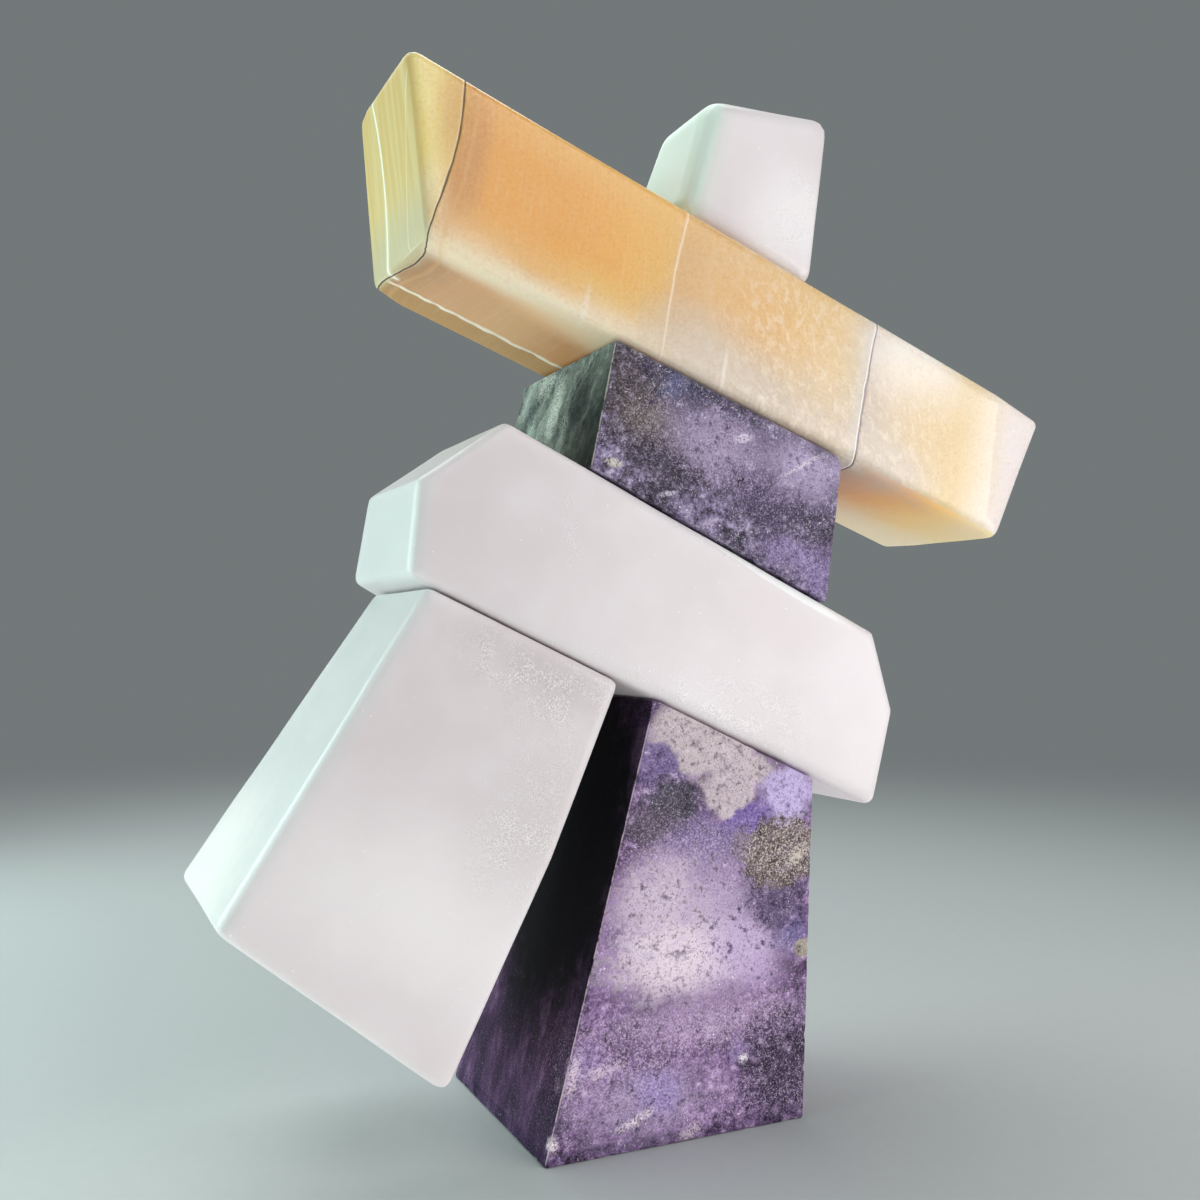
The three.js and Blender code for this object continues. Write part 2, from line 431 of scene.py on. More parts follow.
@dataclass(frozen=True)
class Cloud:
    """A patch in a stone: an ellipsoid of its own colour, with a soft or ragged edge."""

    centre: Triple
    radii: Triple
    hue: int = 0xFFFFFF
    turn: float = 0.0
    soft: float = 0.35
    ragged: float = 1.2
    strength: float = 1.0

    def mask(self, shader: Shader, place: Channel, wander: Channel) -> Channel:
        """Where the patch is.

        Args:
            shader: The shader that it is part of.
            place: The place in millimetres.
            wander: A cloudy value that makes the edge ragged.

        Returns:
            Up to the patch's strength inside, and 0 outside.
        """
        reach = shader.length(shader.laid(place, self.radii, self.turn, centre=self.centre))
        edge = reach + (wander - 0.5) * self.ragged
        return shader.rise(edge, 1 + self.soft, 1 - self.soft) * self.strength

    def over(self, shader: Shader, place: Channel, wander: Channel, colour: Channel) -> Channel:
        """The patch over a colour.

        Args:
            shader: The shader that it is part of.
            place: The place in millimetres.
            wander: A cloudy value that makes the edge ragged.
            colour: The colour so far.

        Returns:
            The colour with the patch.
        """
        return shader.blend(self.mask(shader, place, wander), colour, tint(self.hue))


@dataclass(frozen=True)
class Alabaster:
    """White translucent stone, polished, with sugary crystals that catch the light."""

    name: str
    sugar: tuple[Cloud, ...]
    # Clouds of painted light and shade: patches made paler where light falls or greyer where shade gathers,
    # and painted highlights.
    light_and_shade_veils: tuple[Cloud, ...] = ()
    body: int = 0xE9E3E5
    # The left side's colour paints in the cool light that falls on that side.
    side: int = 0xDFDDDE
    flush: int = 0xDFD6D8
    frost: int = 0xF6F3F4
    gap: int = 0xC6BDC0
    crystal: int = 0xFFFFFF
    roughness: float = 0.36
    depth_mm: float = 9.0

    def make(self) -> bpy.types.Material:
        """Makes the material.

        Returns:
            The material of one white stone.
        """
        shader = Shader(self.name)
        place = shader.place()
        wander = shader.noise(place, 16, 4, 0.6)
        tone = shader.rise(shader.noise(place, 60, 2), 0.34, 0.66) * 0.7
        colour = shader.blend(tone, tint(self.body), tint(self.flush))
        colour = shader.blend(shader.rise(wander, 0.4, 0.75) * 0.15, colour, tint(self.frost))
        # Painted light: the left side takes the tint of the cool light from the left.
        colour = shader.blend(shader.rise(shader.measure("flank"), 9, 0.5), colour, tint(self.side))
        # Painted light and shade: the veils lighten or darken the colour where the lighting would.
        for painted_veil in self.light_and_shade_veils:
            colour = painted_veil.over(shader, place, wander, colour)
        grain = shader.noise(place, 0.5, 2, 0.6)
        clumps = shader.rise(shader.noise(place, 6, 4, 0.65), 0.36, 0.6)
        # Painted highlight: the arrises are whitened as if catching the light, and some sugar follows them.
        arris = shader.measure("arris")
        rim = shader.rise(arris, 2.8, 0.6)
        colour = shader.blend(rim * 0.2 | shader.rise(arris, 1.0, 0.5) * 0.55, colour, tint(self.crystal))
        sugar = rim * 0.3
        for cloud in self.sugar:
            sugar = sugar | cloud.mask(shader, place, wander)
        sugar = sugar * clumps
        colour = shader.blend(shader.rise(grain, 0.5, 0.4) * sugar * 0.3, colour, tint(self.gap), Way.SHADE)
        # The crystals and glints are white grains of the stone, and partly painted glints that stand in for
        # their sparkle.
        crystals = (shader.rise(grain, 0.51, 0.6) * 0.7 | shader.flecks(place, 1.0, 0.33, 0.7)) * sugar
        colour = shader.blend(crystals, colour, tint(self.crystal))
        glints = shader.flecks(place, 4.2, 0.4, 0.5) | shader.flecks(place, 2.1, 0.28, 0.15)
        colour = shader.blend(glints * 0.9, colour, tint(self.crystal))
        rough = self.roughness + (wander - 0.5) * 0.2 - crystals * 0.14
        height = (shader.noise(place, 3.2, 3) - 0.5) * 0.02 + (grain - 0.5) * (0.004 + sugar * 0.006)
        return shader.close({
            "Base Color": colour,
            "Roughness": rough,
            "Normal": shader.relief(height),
            "Subsurface Weight": 0.35,
            "Subsurface Radius": (0.9, 0.85, 0.8),
            "Subsurface Scale": self.depth_mm * MM,
            "Coat Weight": 0.15,
            "Coat Roughness": 0.12,
        })


@dataclass(frozen=True)
class Layer:
    """The layer of rock that a violet stone's left side is cut through."""

    stops: Stops
    bands: Triple
    hairs: Triple
    turn: float
    tip: float = 0.0
    curl: float = 0.0

    def colour(self, shader: Shader, place: Channel, grit: Channel) -> Channel:
        """The layer's colour.

        Args:
            shader: The shader that it is part of.
            place: The place in millimetres.
            grit: The stone's finest grain.

        Returns:
            The colour.
        """
        bands = shader.noise(shader.laid(place, self.bands, self.turn, self.tip), 1, 4, 0.55, self.curl)
        hairs = shader.noise(shader.laid(place, self.hairs, self.turn, self.tip), 1, 2)
        tone = bands * 0.66 + hairs * 0.22 + grit * 0.12
        return shader.ramp((tone - 0.5) * 2.1 + 0.5, self.stops)


@dataclass(frozen=True)
class Lepidolite:
    """Violet mica-bearing stone, honed, full of pale flecks and dark grains."""

    name: str
    clouds: tuple[Cloud, ...]
    wisps: tuple[Cloud, ...]
    layer: Layer
    body: Stops
    # A dark cloud over the left side that paints the shade cast on it by the neighbouring stones.
    painted_shade: Cloud | None = None
    crowds: tuple[Cloud, ...] = ()
    fleck: int = 0xF6EEF8
    dust: int = 0xA898B6
    grain: int = 0x6A5A78
    crack: int = 0x5E4560
    # The colour of the pale arrises, partly wear and partly a painted highlight.
    arris: int = 0xE2CBD8
    roughness: float = 0.5
    cracks: float = 0.0
    pit: int = 0x1C1822
    mottle_pale: int = 0xA294AC
    mottle_dark: int = 0x5E5072

    def make(self) -> bpy.types.Material:
        """Makes the material.

        Returns:
            The material of one violet stone.
        """
        shader = Shader(self.name)
        place = shader.place()
        middle = shader.noise(place, 5.5, 5, 0.66)
        grit = shader.noise(place, 0.7, 3, 0.65)
        thick = shader.rise(shader.noise(place, 11, 3, 0.6), 0.38, 0.62)
        colour = self._body(shader, place, middle, grit)
        flank = shader.rise(shader.measure("flank"), 0.7, 0.2)
        colour = shader.blend(flank, colour, self.layer.colour(shader, place, grit))
        colour = self._grain(shader, grit, colour, 1 - flank * 0.6)
        strokes = shader.slivers(place, 1.9, 0.3, (28, -47, 84)) * (0.25 + thick * 0.65)
        dots = shader.flecks(place, 2.8, 0.42, 0.5) | shader.flecks(place, 1.4, 0.21, 0.45) * 0.8
        sparks = dots * (0.5 + thick * 0.5) | strokes
        colour = shader.blend(sparks * (1 - flank * 0.75) * 0.9, colour, tint(self.fleck))
        for crowd in self.crowds:
            specks = crowd.mask(shader, place, middle) * shader.rise(grit, 0.52, 0.6)
            colour = shader.blend(specks, colour, tint(crowd.hue))
        for wisp in self.wisps:
            thread = wisp.mask(shader, place, middle) * shader.rise(grit, 0.36, 0.56)
            colour = shader.blend(thread, colour, tint(wisp.hue))
        pits = shader.flecks(place, 4.5, 0.32, 0.3)
        colour = shader.blend(pits * 0.8, colour, tint(self.pit))
        # Painted shade: the left side is darkened nearly to black where the neighbouring stones shadow it.
        if self.painted_shade:
            colour = shader.blend(self.painted_shade.mask(shader, place, middle) * flank, colour, tint(self.painted_shade.hue))
        # Partly wear and partly painted highlight: the arrises, the left front one most, are drawn pale as if
        # catching the light.
        worn = shader.rise(shader.measure("arris"), 0.8, 0.3) * shader.rise(middle, 0.42, 0.6) * 0.3
        worn = worn | shader.rise(shader.measure("edge"), 0.66, 0.46) * shader.rise(middle, 0.36, 0.52) * 0.8
        colour = shader.blend(worn, colour, tint(self.arris))
        rough = self.roughness + (grit - 0.5) * 0.3 - sparks * 0.2 + flank * 0.2
        height = (grit - 0.5) * 0.07 + (middle - 0.5) * 0.05 - pits * 0.08
        return shader.close({
            "Base Color": colour,
            "Roughness": rough,
            "Normal": shader.relief(height),
            "Specular IOR Level": 0.1,
            "Coat Weight": (1 - flank) * 0.12,
            "Coat Roughness": 0.3,
        })

    def _body(self, shader: Shader, place: Channel, middle: Channel, grit: Channel) -> Channel:
        """The front's colour with its clouds and cracks, before its grain.

        Args:
            shader: The shader.
            place: The place in millimetres.
            middle: A cloudy value of middling size.
            grit: The finest grain.

        Returns:
            The colour.
        """
        small = shader.noise(place, 2.1, 4, 0.62)
        tone = shader.noise(place, 24, 5, 0.62) * 0.4 + middle * 0.36 + small * 0.24
        colour = shader.ramp((tone - 0.5) * 2.5 + 0.5, self.body)
        pulled = shader.bent(place, 15, 9)
        wander = middle * 0.5 + small * 0.3 + grit * 0.2
        for cloud in self.clouds:
            colour = cloud.over(shader, pulled, wander, colour)
        mottle = middle * 0.55 + small * 0.45 - 0.5
        pale, dark = shader.rise(mottle, 0.01, 0.18) * 0.75, shader.rise(mottle, 0.0, -0.15) * 0.85
        colour = shader.blend(pale, colour, tint(self.mottle_pale), Way.LIGHTEN)
        colour = shader.blend(dark, colour, tint(self.mottle_dark), Way.SHADE)
        if self.cracks:
            cracks = shader.line(shader.noise(place, 9, 3, 0.6, 0.4) - 0.5, 0.009)
            cracks = cracks * shader.rise(middle, 0.5, 0.6) * self.cracks
            colour = shader.blend(cracks, colour, tint(self.crack))
        return colour

    def _grain(self, shader: Shader, grit: Channel, colour: Channel, strength: Channel) -> Channel:
        """Fine pale dust and dark grains over a colour.

        Args:
            shader: The shader.
            grit: The finest grain.
            colour: The colour so far.
            strength: How strong the grain is.

        Returns:
            The colour with them.
        """
        pale, dark = shader.rise(grit, 0.53, 0.70), shader.rise(grit, 0.48, 0.33)
        colour = shader.blend(pale * strength * 0.55, colour, tint(self.dust), Way.LIGHTEN)
        return shader.blend(dark * strength * 0.6, colour, tint(self.grain), Way.SHADE)


@dataclass(frozen=True)
class Calcite:
    """Orange and honey banded stone, glossy, with healed seams across it.

    Its clouds' places are along the beam, behind its front and above its underside.
    """

    name: str
    length: float
    front: Stops
    # The underside's stops hold painted glow and painted shade as well as its colour.
    under: Stops
    clouds: tuple[Cloud, ...]
    end: int = 0xD9B66A
    end_foot: int = 0xC4B899
    strip: int = 0xBF925B
    crystal: int = 0xFFF1DE
    peel: int = 0xE8B878
    deep: int = 0xD9A878
    dark_line: int = 0x3E2214
    pale_line: int = 0xFBF3DC
    ridge_highlight: int = 0xFFF0DC
    vein: int = 0xFBE6D0
    lilac_line: int = 0xA4929E
    lilac_foot: int = 0x5E4A50
    right_seam_highlight: int = 0xFFFFFF
    right_veil: int = 0xDDD6CC
    pale_under: int = 0xF8E7CB
    end_band: int = 0xE8D6A0
    end_highlight: int = 0xFFFCEC

    def make(self) -> bpy.types.Material:
        """Makes the material.

        Returns:
            The material of the arm beam.
        """
        shader = Shader(self.name)
        place = shader.place()
        run, deep, rise = (shader.measure(name) for name in ("run", "deep", "rise"))
        beam = shader.node("ShaderNodeCombineXYZ", None, {"X": run, "Y": deep, "Z": rise})
        wander = shader.noise(place, 18, 4, 0.6)
        peel = shader.noise(place, 1.25, 3, 0.65)
        fibre = shader.noise(shader.laid(beam, (1.1, 40, 32), -8), 1, 3, 0.6)
        left, right = shader.measure("seam_left"), shader.measure("seam_right")
        away = shader.rise(abs(left), 0, 7) * shader.rise(abs(right), 0, 7)
        shifted = run + (wander - 0.5) * away * 9
        colour = shader.ramp(shifted / self.length, self._shares(self.front))
        crisp = shader.rise(run, 212, 222)
        below = shader.rise(rise, 5, 0.5) * shader.rise(deep, 2, 12) | shader.rise(rise, 2.6, 1.6) * crisp
        colour = shader.blend(below, colour, self._underside(shader, run, deep, wander))
        ragged = wander * 0.7 + fibre * 0.3
        for cloud in self.clouds:
            colour = cloud.over(shader, beam, ragged, colour)
        skin = 1 - below * 0.7
        pips = shader.rise(peel, 0.48, 0.72) * skin * 0.26
        colour = shader.blend(pips, colour, tint(self.peel), Way.LIGHTEN)
        colour = shader.blend(shader.rise(peel, 0.5, 0.3) * skin * 0.2, colour, tint(self.deep), Way.SHADE)
        colour = shader.blend(shader.rise(fibre, 0.48, 0.74) * 0.1, colour, tint(self.crystal))
        colour = shader.blend(1 - below, colour, self._crystals(shader, place, run, colour))
        colour = self._end(shader, beam, rise, colour)
        colour = self._seams(shader, wander, rise, colour)
        height = (shader.noise(place, 5, 3) - 0.5) * 0.02 + (peel - 0.5) * 0.008
        dull = shader.rise(shader.measure("flank"), 4, 0.5) | below
        return shader.close({
            "Base Color": colour,
            "Roughness": 0.28 + (wander - 0.5) * 0.15 + dull * 0.2,
            "Normal": shader.relief(height),
            "Subsurface Weight": 0.25,
            "Subsurface Radius": (1.0, 0.65, 0.35),
            "Subsurface Scale": 8 * MM,
            "Coat Weight": (1 - dull) * 0.18,
            "Coat Roughness": 0.2,
        })

    def _shares(self, stops: Stops) -> Stops:
        """Stops along the beam as shares of its length.

        Args:
            stops: Pairs of a place in millimetres and a colour code.

        Returns:
            The same with places from 0 to 1.
        """
        return tuple((place / self.length, code) for place, code in stops)

    def _underside(self, shader: Shader, run: Channel, deep: Channel, wander: Channel) -> Channel:
        """The browner underside, olive behind its ridge and paler at its right rear, with a painted highlight
        along the ridge.

        Args:
            shader: The shader.
            run: How far along the beam.
            deep: How far behind its front.
            wander: A cloudy value.

        Returns:
            Its colour.
        """
        # The under stops hold painted glow and painted shade as well as colour.
        hue = shader.ramp((run + (wander - 0.5) * 14) / self.length, self._shares(self.under))
        strip = shader.rise(deep, 52.4, 53.4) * shader.rise(run, 260, 150)
        hue = shader.blend(strip * 0.9, hue, tint(self.strip))
        pale = shader.rise(deep + (wander - 0.5) * 30, 26, 62) * shader.rise(run, 205, 225)
        hue = shader.blend(pale * 0.8, hue, tint(self.pale_under))
        # Painted highlight: the bright wavy line along the ridge stands in for the light it catches.
        ridge = shader.line(shader.measure("ridge"), 2.1) * shader.rise(run, 140, 120)
        return shader.blend(ridge, hue, tint(self.ridge_highlight))

    def _crystals(self, shader: Shader, place: Channel, run: Channel, colour: Channel) -> Channel:
        """Feathery pale crystals in the right half.

        Args:
            shader: The shader.
            place: The place in millimetres.
            run: How far along the beam.
            colour: The colour so far.

        Returns:
            The colour with them.
        """
        fuzz = shader.noise(shader.laid(place, (3.4, 5, 5.5), -30), 1, 4, 0.66, 0.5)
        fans = shader.noise(shader.laid(place, (0.9, 3, 3.4), -44), 1, 2)
        fans = fans | shader.noise(shader.laid(place, (0.9, 3, 3.4), 32, centre=(40, 0, 0)), 1, 2)
        where = shader.rise(run, 122, 165) * shader.rise(run, 272, 235)
        rays = shader.rise(fans, 0.56, 0.7) * shader.rise(fuzz, 0.4, 0.6) * 0.6
        feathers = shader.rise(fuzz, 0.47, 0.68) * 0.5 | rays
        return shader.blend(feathers * where * 0.8, colour, tint(self.crystal))

    def _end(self, shader: Shader, beam: Channel, rise: Channel, colour: Channel) -> Channel:
        """The olive-yellow left end with painted highlights along its facet, its front arris and its sheen
        line.

        Args:
            shader: The shader.
            beam: The place in the beam's own axes.
            rise: How far above its underside.
            colour: The colour so far.

        Returns:
            The colour with it.
        """
        flank = shader.measure("flank")
        end = shader.rise(flank, 4, 0.5)
        bands = shader.noise(shader.laid(beam, (70, 4, 70)), 1, 3, 0.6)
        hue = shader.blend(shader.rise(bands, 0.36, 0.7) * 0.45, tint(self.end), tint(self.end_band))
        hue = shader.blend(shader.rise(rise, 24, 4) * 0.75, hue, tint(self.end_foot))
        colour = shader.blend(end, colour, hue)
        # Painted highlights: bright lines along the facet's edge, the front arris and the sheen, with a
        # painted glow about the lower sheen.
        facet = shader.line(shader.measure("facet"), 0.5) * shader.rise(flank, 1, 0.4)
        rim = shader.rise(shader.measure("arris"), 1.2, 0.6) * end
        rim = rim * shader.rise(shader.measure("deep"), 34, 14)
        sheen = shader.measure("sheen")
        glow = shader.rise(abs(sheen), 4, 0) * shader.rise(rise, 30, 6) * 0.4
        sheen_highlight = (shader.line(sheen, 1.3) * 0.95 | glow) * shader.rise(flank, 5, 3)
        return shader.blend(facet * 0.4 | rim * 0.8 | sheen_highlight, colour, tint(self.end_highlight))

    def _seams(self, shader: Shader, wander: Channel, rise: Channel, colour: Channel) -> Channel:
        """The lines of the three seams.

        Args:
            shader: The shader.
            wander: A cloudy value.
            rise: How far above the underside.
            colour: The colour so far.

        Returns:
            The colour with them.
        """
        left, vein, right = (shader.measure(name) for name in ("seam_left", "seam_vein", "seam_right"))
        beside = shader.line(left - 5.2 + (wander - 0.5) * 2, 1.1)
        colour = shader.blend(beside * 0.3, colour, tint(self.peel))
        colour = shader.blend(shader.line(left + 0.7, 0.35) * 0.3, colour, tint(self.pale_line))
        colour = shader.blend(shader.line(left, 0.42) * 0.9, colour, tint(self.dark_line))
        colour = shader.blend(shader.line(vein + (wander - 0.5) * 0.5, 0.6) * 0.75, colour, tint(self.vein))
        colour = shader.blend(shader.line(right + 3.0, 2.4) * 0.4, colour, tint(self.right_veil))
        # Painted highlight: a white line along the left of the right seam, where its step catches the light.
        colour = shader.blend(shader.line(right + 0.85, 0.42) * 0.8, colour, tint(self.right_seam_highlight))
        lilac = shader.blend(shader.rise(rise, 6, 1.5), tint(self.lilac_line), tint(self.lilac_foot))
        return shader.blend(shader.line(right, 0.48) * 0.9, colour, lilac)


@dataclass(frozen=True)
class Flat:
    """A flat face of a stone, with a normal that looks out of it."""

    normal: np.ndarray
    reach: float

    def under(self, points: np.ndarray) -> np.ndarray:
        """How far points lie under the face, in metres."""
        return self.reach - points @ self.normal


@dataclass(frozen=True)
class Skin:
    """How finely a stone is meshed, and how its worked faces depart from true. Millimetres."""

    grid: float = 1.9
    rows: tuple[float, ...] = (0.35, 0.85, 1.5, 2.3, 3.3, 4.6)
    spacing: float = 1.0
    swell: float = 0.25
    swell_size: float = 55.0
    chip: float = 0.0
    chip_size: float = 5.0
    chip_reach: float = 3.0
    smoothing: int = 4
    seed: int = 1


def ripple(points: np.ndarray, size: float, seed: int, count: int = 16) -> np.ndarray:
    """A smooth random field made of many waves.

    Args:
        points: Places, one row each.
        size: The waves' mean length, in the same unit.
        seed: Which field.
        count: How many waves.

    Returns:
        Values about nil with a spread of one.
    """
    draw = np.random.default_rng(seed)
    heading = draw.normal(size=(count, 3))
    heading /= np.linalg.norm(heading, axis=1)[:, None]
    heading *= 2 * math.pi / (size * draw.uniform(0.6, 1.6, count))[:, None]
    return np.sin(points @ heading.T + draw.uniform(0, 2 * math.pi, count)).sum(1) / math.sqrt(count / 2)


def eased(values: np.ndarray, low: float, high: float) -> np.ndarray:
    """A smooth rise from 0 to 1.

    Args:
        values: What rises.
        low: Where it starts.
        high: Where it ends.

    Returns:
        0 below low, 1 above high.
    """
    share = np.clip((values - low) / (high - low), 0, 1)
    return share * share * (3 - 2 * share)


class Block:
    """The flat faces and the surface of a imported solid."""

    SMALLEST_FLAT = 6.0
    FLAT_ANGLE = 0.3
    TOUCH = 1e-5

    def __init__(self, solid: bpy.types.Object) -> None:
        """Reads the solid.

        Args:
            solid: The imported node.
        """
        mesh = bmesh.new()
        mesh.from_mesh(solid.data)
        bmesh.ops.remove_doubles(mesh, verts=mesh.verts, dist=MM * 0.001)
        self.surface = BVHTree.FromBMesh(mesh)
        angle = math.radians(self.FLAT_ANGLE)
        bmesh.ops.dissolve_limit(mesh, angle_limit=angle, verts=mesh.verts, edges=mesh.edges)
        self.flats = [
            Flat(np.array(f.normal), float(f.normal.dot(f.calc_center_median())))
            for f in mesh.faces
            if 2 * f.calc_area() / f.calc_perimeter() > self.SMALLEST_FLAT * MM
        ]
        mesh.free()
        self.normals = np.array([flat.normal for flat in self.flats])

    def towards(self, direction: Triple) -> Flat:
        """The flat face that looks most in one direction.

        Args:
            direction: The direction.

        Returns:
            The face.
        """
        return self.flats[int(np.argmax(self.normals @ np.array(direction)))]

    def inside(self, points: np.ndarray) -> np.ndarray:
        """How far points are under each flat face.

        Args:
            points: Places in metres.

        Returns:
            One row for each point and one column for each face, in metres.
        """
        return np.column_stack([flat.under(points) for flat in self.flats])

    def corners(self) -> dict[tuple[int, ...], np.ndarray]:
        """The sharp corners, as they were before wear.

        Returns:
            Each corner's place, by the numbers of the faces that meet there.
        """
        found: list[tuple[set[int], np.ndarray]] = []
        for trio in itertools.combinations(range(len(self.flats)), 3):
            normals = self.normals[list(trio)]
            if abs(np.linalg.det(normals)) < self.TOUCH:
                continue
            point = np.linalg.solve(normals, [self.flats[i].reach for i in trio])
            if self.inside(point[None]).min() < -self.TOUCH:
                continue
            near = next((c for c in found if np.linalg.norm(c[1] - point) < 5 * self.TOUCH), None)
            if near:
                near[0].update(trio)
            else:
                found.append((set(trio), point))
        return {tuple(sorted(faces)): point for faces, point in found}

    def outline(self, index: int, corners: Mapping[tuple[int, ...], np.ndarray]) -> list[np.ndarray]:
        """A face's corners in order round it.

        Args:
            index: The face's number.
            corners: All the corners.

        Returns:
            Their places.
        """
        points = [point for faces, point in corners.items() if index in faces]
        centre = sum(points) / len(points)
        across, along = self.axes(index)
        return sorted(points, key=lambda p: math.atan2((p - centre) @ along, (p - centre) @ across))

    def axes(self, index: int) -> tuple[np.ndarray, np.ndarray]:
        """Two directions in a face, at right angles.

        Args:
            index: The face's number.

        Returns:
            The directions, turning the right way round when seen from outside.
        """
        normal = self.normals[index]
        side = np.cross(normal, np.eye(3)[int(np.argmin(np.abs(normal)))])
        side /= np.linalg.norm(side)
        return side, np.cross(normal, side)


@dataclass
class FineArea:
    """A strip of the surface that needs a finer mesh."""

    offset: Callable[[np.ndarray], np.ndarray]
    reach: float
    size: float

    def covers(self, points: np.ndarray) -> np.ndarray:
        """Whether points are in the strip."""
        return np.abs(self.offset(points)) < self.reach


class Weaver:
    """Lays points over one flat face and joins them into even triangles."""

    def __init__(self, block: Block, index: int, outline: Sequence[np.ndarray], skin: Skin) -> None:
        """Lays the face out flat.

        Args:
            block: The stone.
            index: The face's number.
            outline: The face's corners in order.
            skin: How finely it is meshed.
        """
        self.skin = skin
        self.origin = outline[0]
        self.axes = np.array(block.axes(index))
        self.outline = np.array(outline)
        self.flat_outline = self.flatten(self.outline)
        edges = np.roll(self.flat_outline, -1, axis=0) - self.flat_outline
        self.inward = np.column_stack([-edges[:, 1], edges[:, 0]]) / np.linalg.norm(edges, axis=1)[:, None]

    def flatten(self, points: np.ndarray) -> np.ndarray:
        """Places in the face as flat places in millimetres."""
        return (points - self.origin) @ self.axes.T / MM

    def raised(self, places: np.ndarray) -> np.ndarray:
        """Flat places in millimetres as places in space."""
        return self.origin + places @ self.axes * MM

    def margin(self, places: np.ndarray) -> np.ndarray:
        """How far flat places are from the nearest arris, in millimetres.

        Args:
            places: The flat places.

        Returns:
            The distances, below nil outside the face.
        """
        offsets = places[:, None, :] - self.flat_outline[None]
        return (offsets * self.inward[None]).sum(2).min(1)

    def rim(self) -> np.ndarray:
        """Points along the arrises, the same for both faces that share one.

        Returns:
            Their places in space, in order round the face.
        """
        points = []
        for start, end in zip(self.outline, np.roll(self.outline, -1, axis=0)):
            count = max(1, round(float(np.linalg.norm(end - start)) / (self.skin.spacing * MM)))
            swapped = tuple(end) < tuple(start)
            low, high = (end, start) if swapped else (start, end)
            line = [low + (high - low) * i / count for i in range(count + 1)]
            points += (line[::-1] if swapped else line)[:-1]
        return np.array(points)

    def rows(self) -> np.ndarray:
        """Points in rows beside the arrises, where wear bends the face.

        Returns:
            Flat places.
        """
        found = []
        for number, start in enumerate(self.flat_outline):
            end = self.flat_outline[(number + 1) % len(self.flat_outline)]
            count = max(1, round(float(np.linalg.norm(end - start)) / self.skin.spacing))
            line = start + (end - start) * (np.arange(count) + 0.5)[:, None] / count
            for row in self.skin.rows:
                shifted = line + self.inward[number] * row
                found.append(shifted[self.margin(shifted) > row * 0.999])
        return np.concatenate(found)

    def lattice(self, size: float) -> np.ndarray:
        """A lattice of even triangles over the face's box.

        Args:
            size: The lattice's spacing in millimetres.

        Returns:
            Flat places.
        """
        low, high = self.flat_outline.min(0), self.flat_outline.max(0)
        xs = np.arange(low[0], high[0], size)
        ys = np.arange(low[1], high[1], size * math.sqrt(3) / 2)
        across, up = np.meshgrid(xs, ys)
        across = across + (np.arange(len(ys)) % 2)[:, None] * size / 2
        return np.column_stack([across.ravel(), up.ravel()])

    def weave(self, fine: FineArea | None) -> tuple[np.ndarray, np.ndarray]:
        """Meshes the face.

        Args:
            fine: Where the mesh is finer, or None.

        Returns:
            Places in space, and triangles as triples of their numbers.
        """
        rim = self.rim()
        middle = self.lattice(self.skin.grid)
        middle = middle[self.margin(middle) > max(self.skin.rows) + self.skin.grid * 0.5]
        laid = np.concatenate([self.rows(), middle])
        if fine:
            laid = laid[~fine.covers(self.raised(laid))]
            extra = self.lattice(fine.size)
            extra = extra[(self.margin(extra) > fine.size * 0.4) & fine.covers(self.raised(extra))]
            laid = np.concatenate([laid, extra])
        places = np.concatenate([self.flatten(rim), laid])
        edges = [(i, (i + 1) % len(rim)) for i in range(len(rim))]
        made = delaunay_2d_cdt([Vector(place) for place in places], edges, [], 1, 1e-4)
        flat = np.array([tuple(place) for place in made[0]])
        return self.raised(flat), np.array(made[2], dtype=int)


class Slot(Enum):
    """The finishes that the record names."""

    VIOLET = "purple_lepidolite"
    WHITE = "white_alabaster"
    BANDED = "banded_calcite"


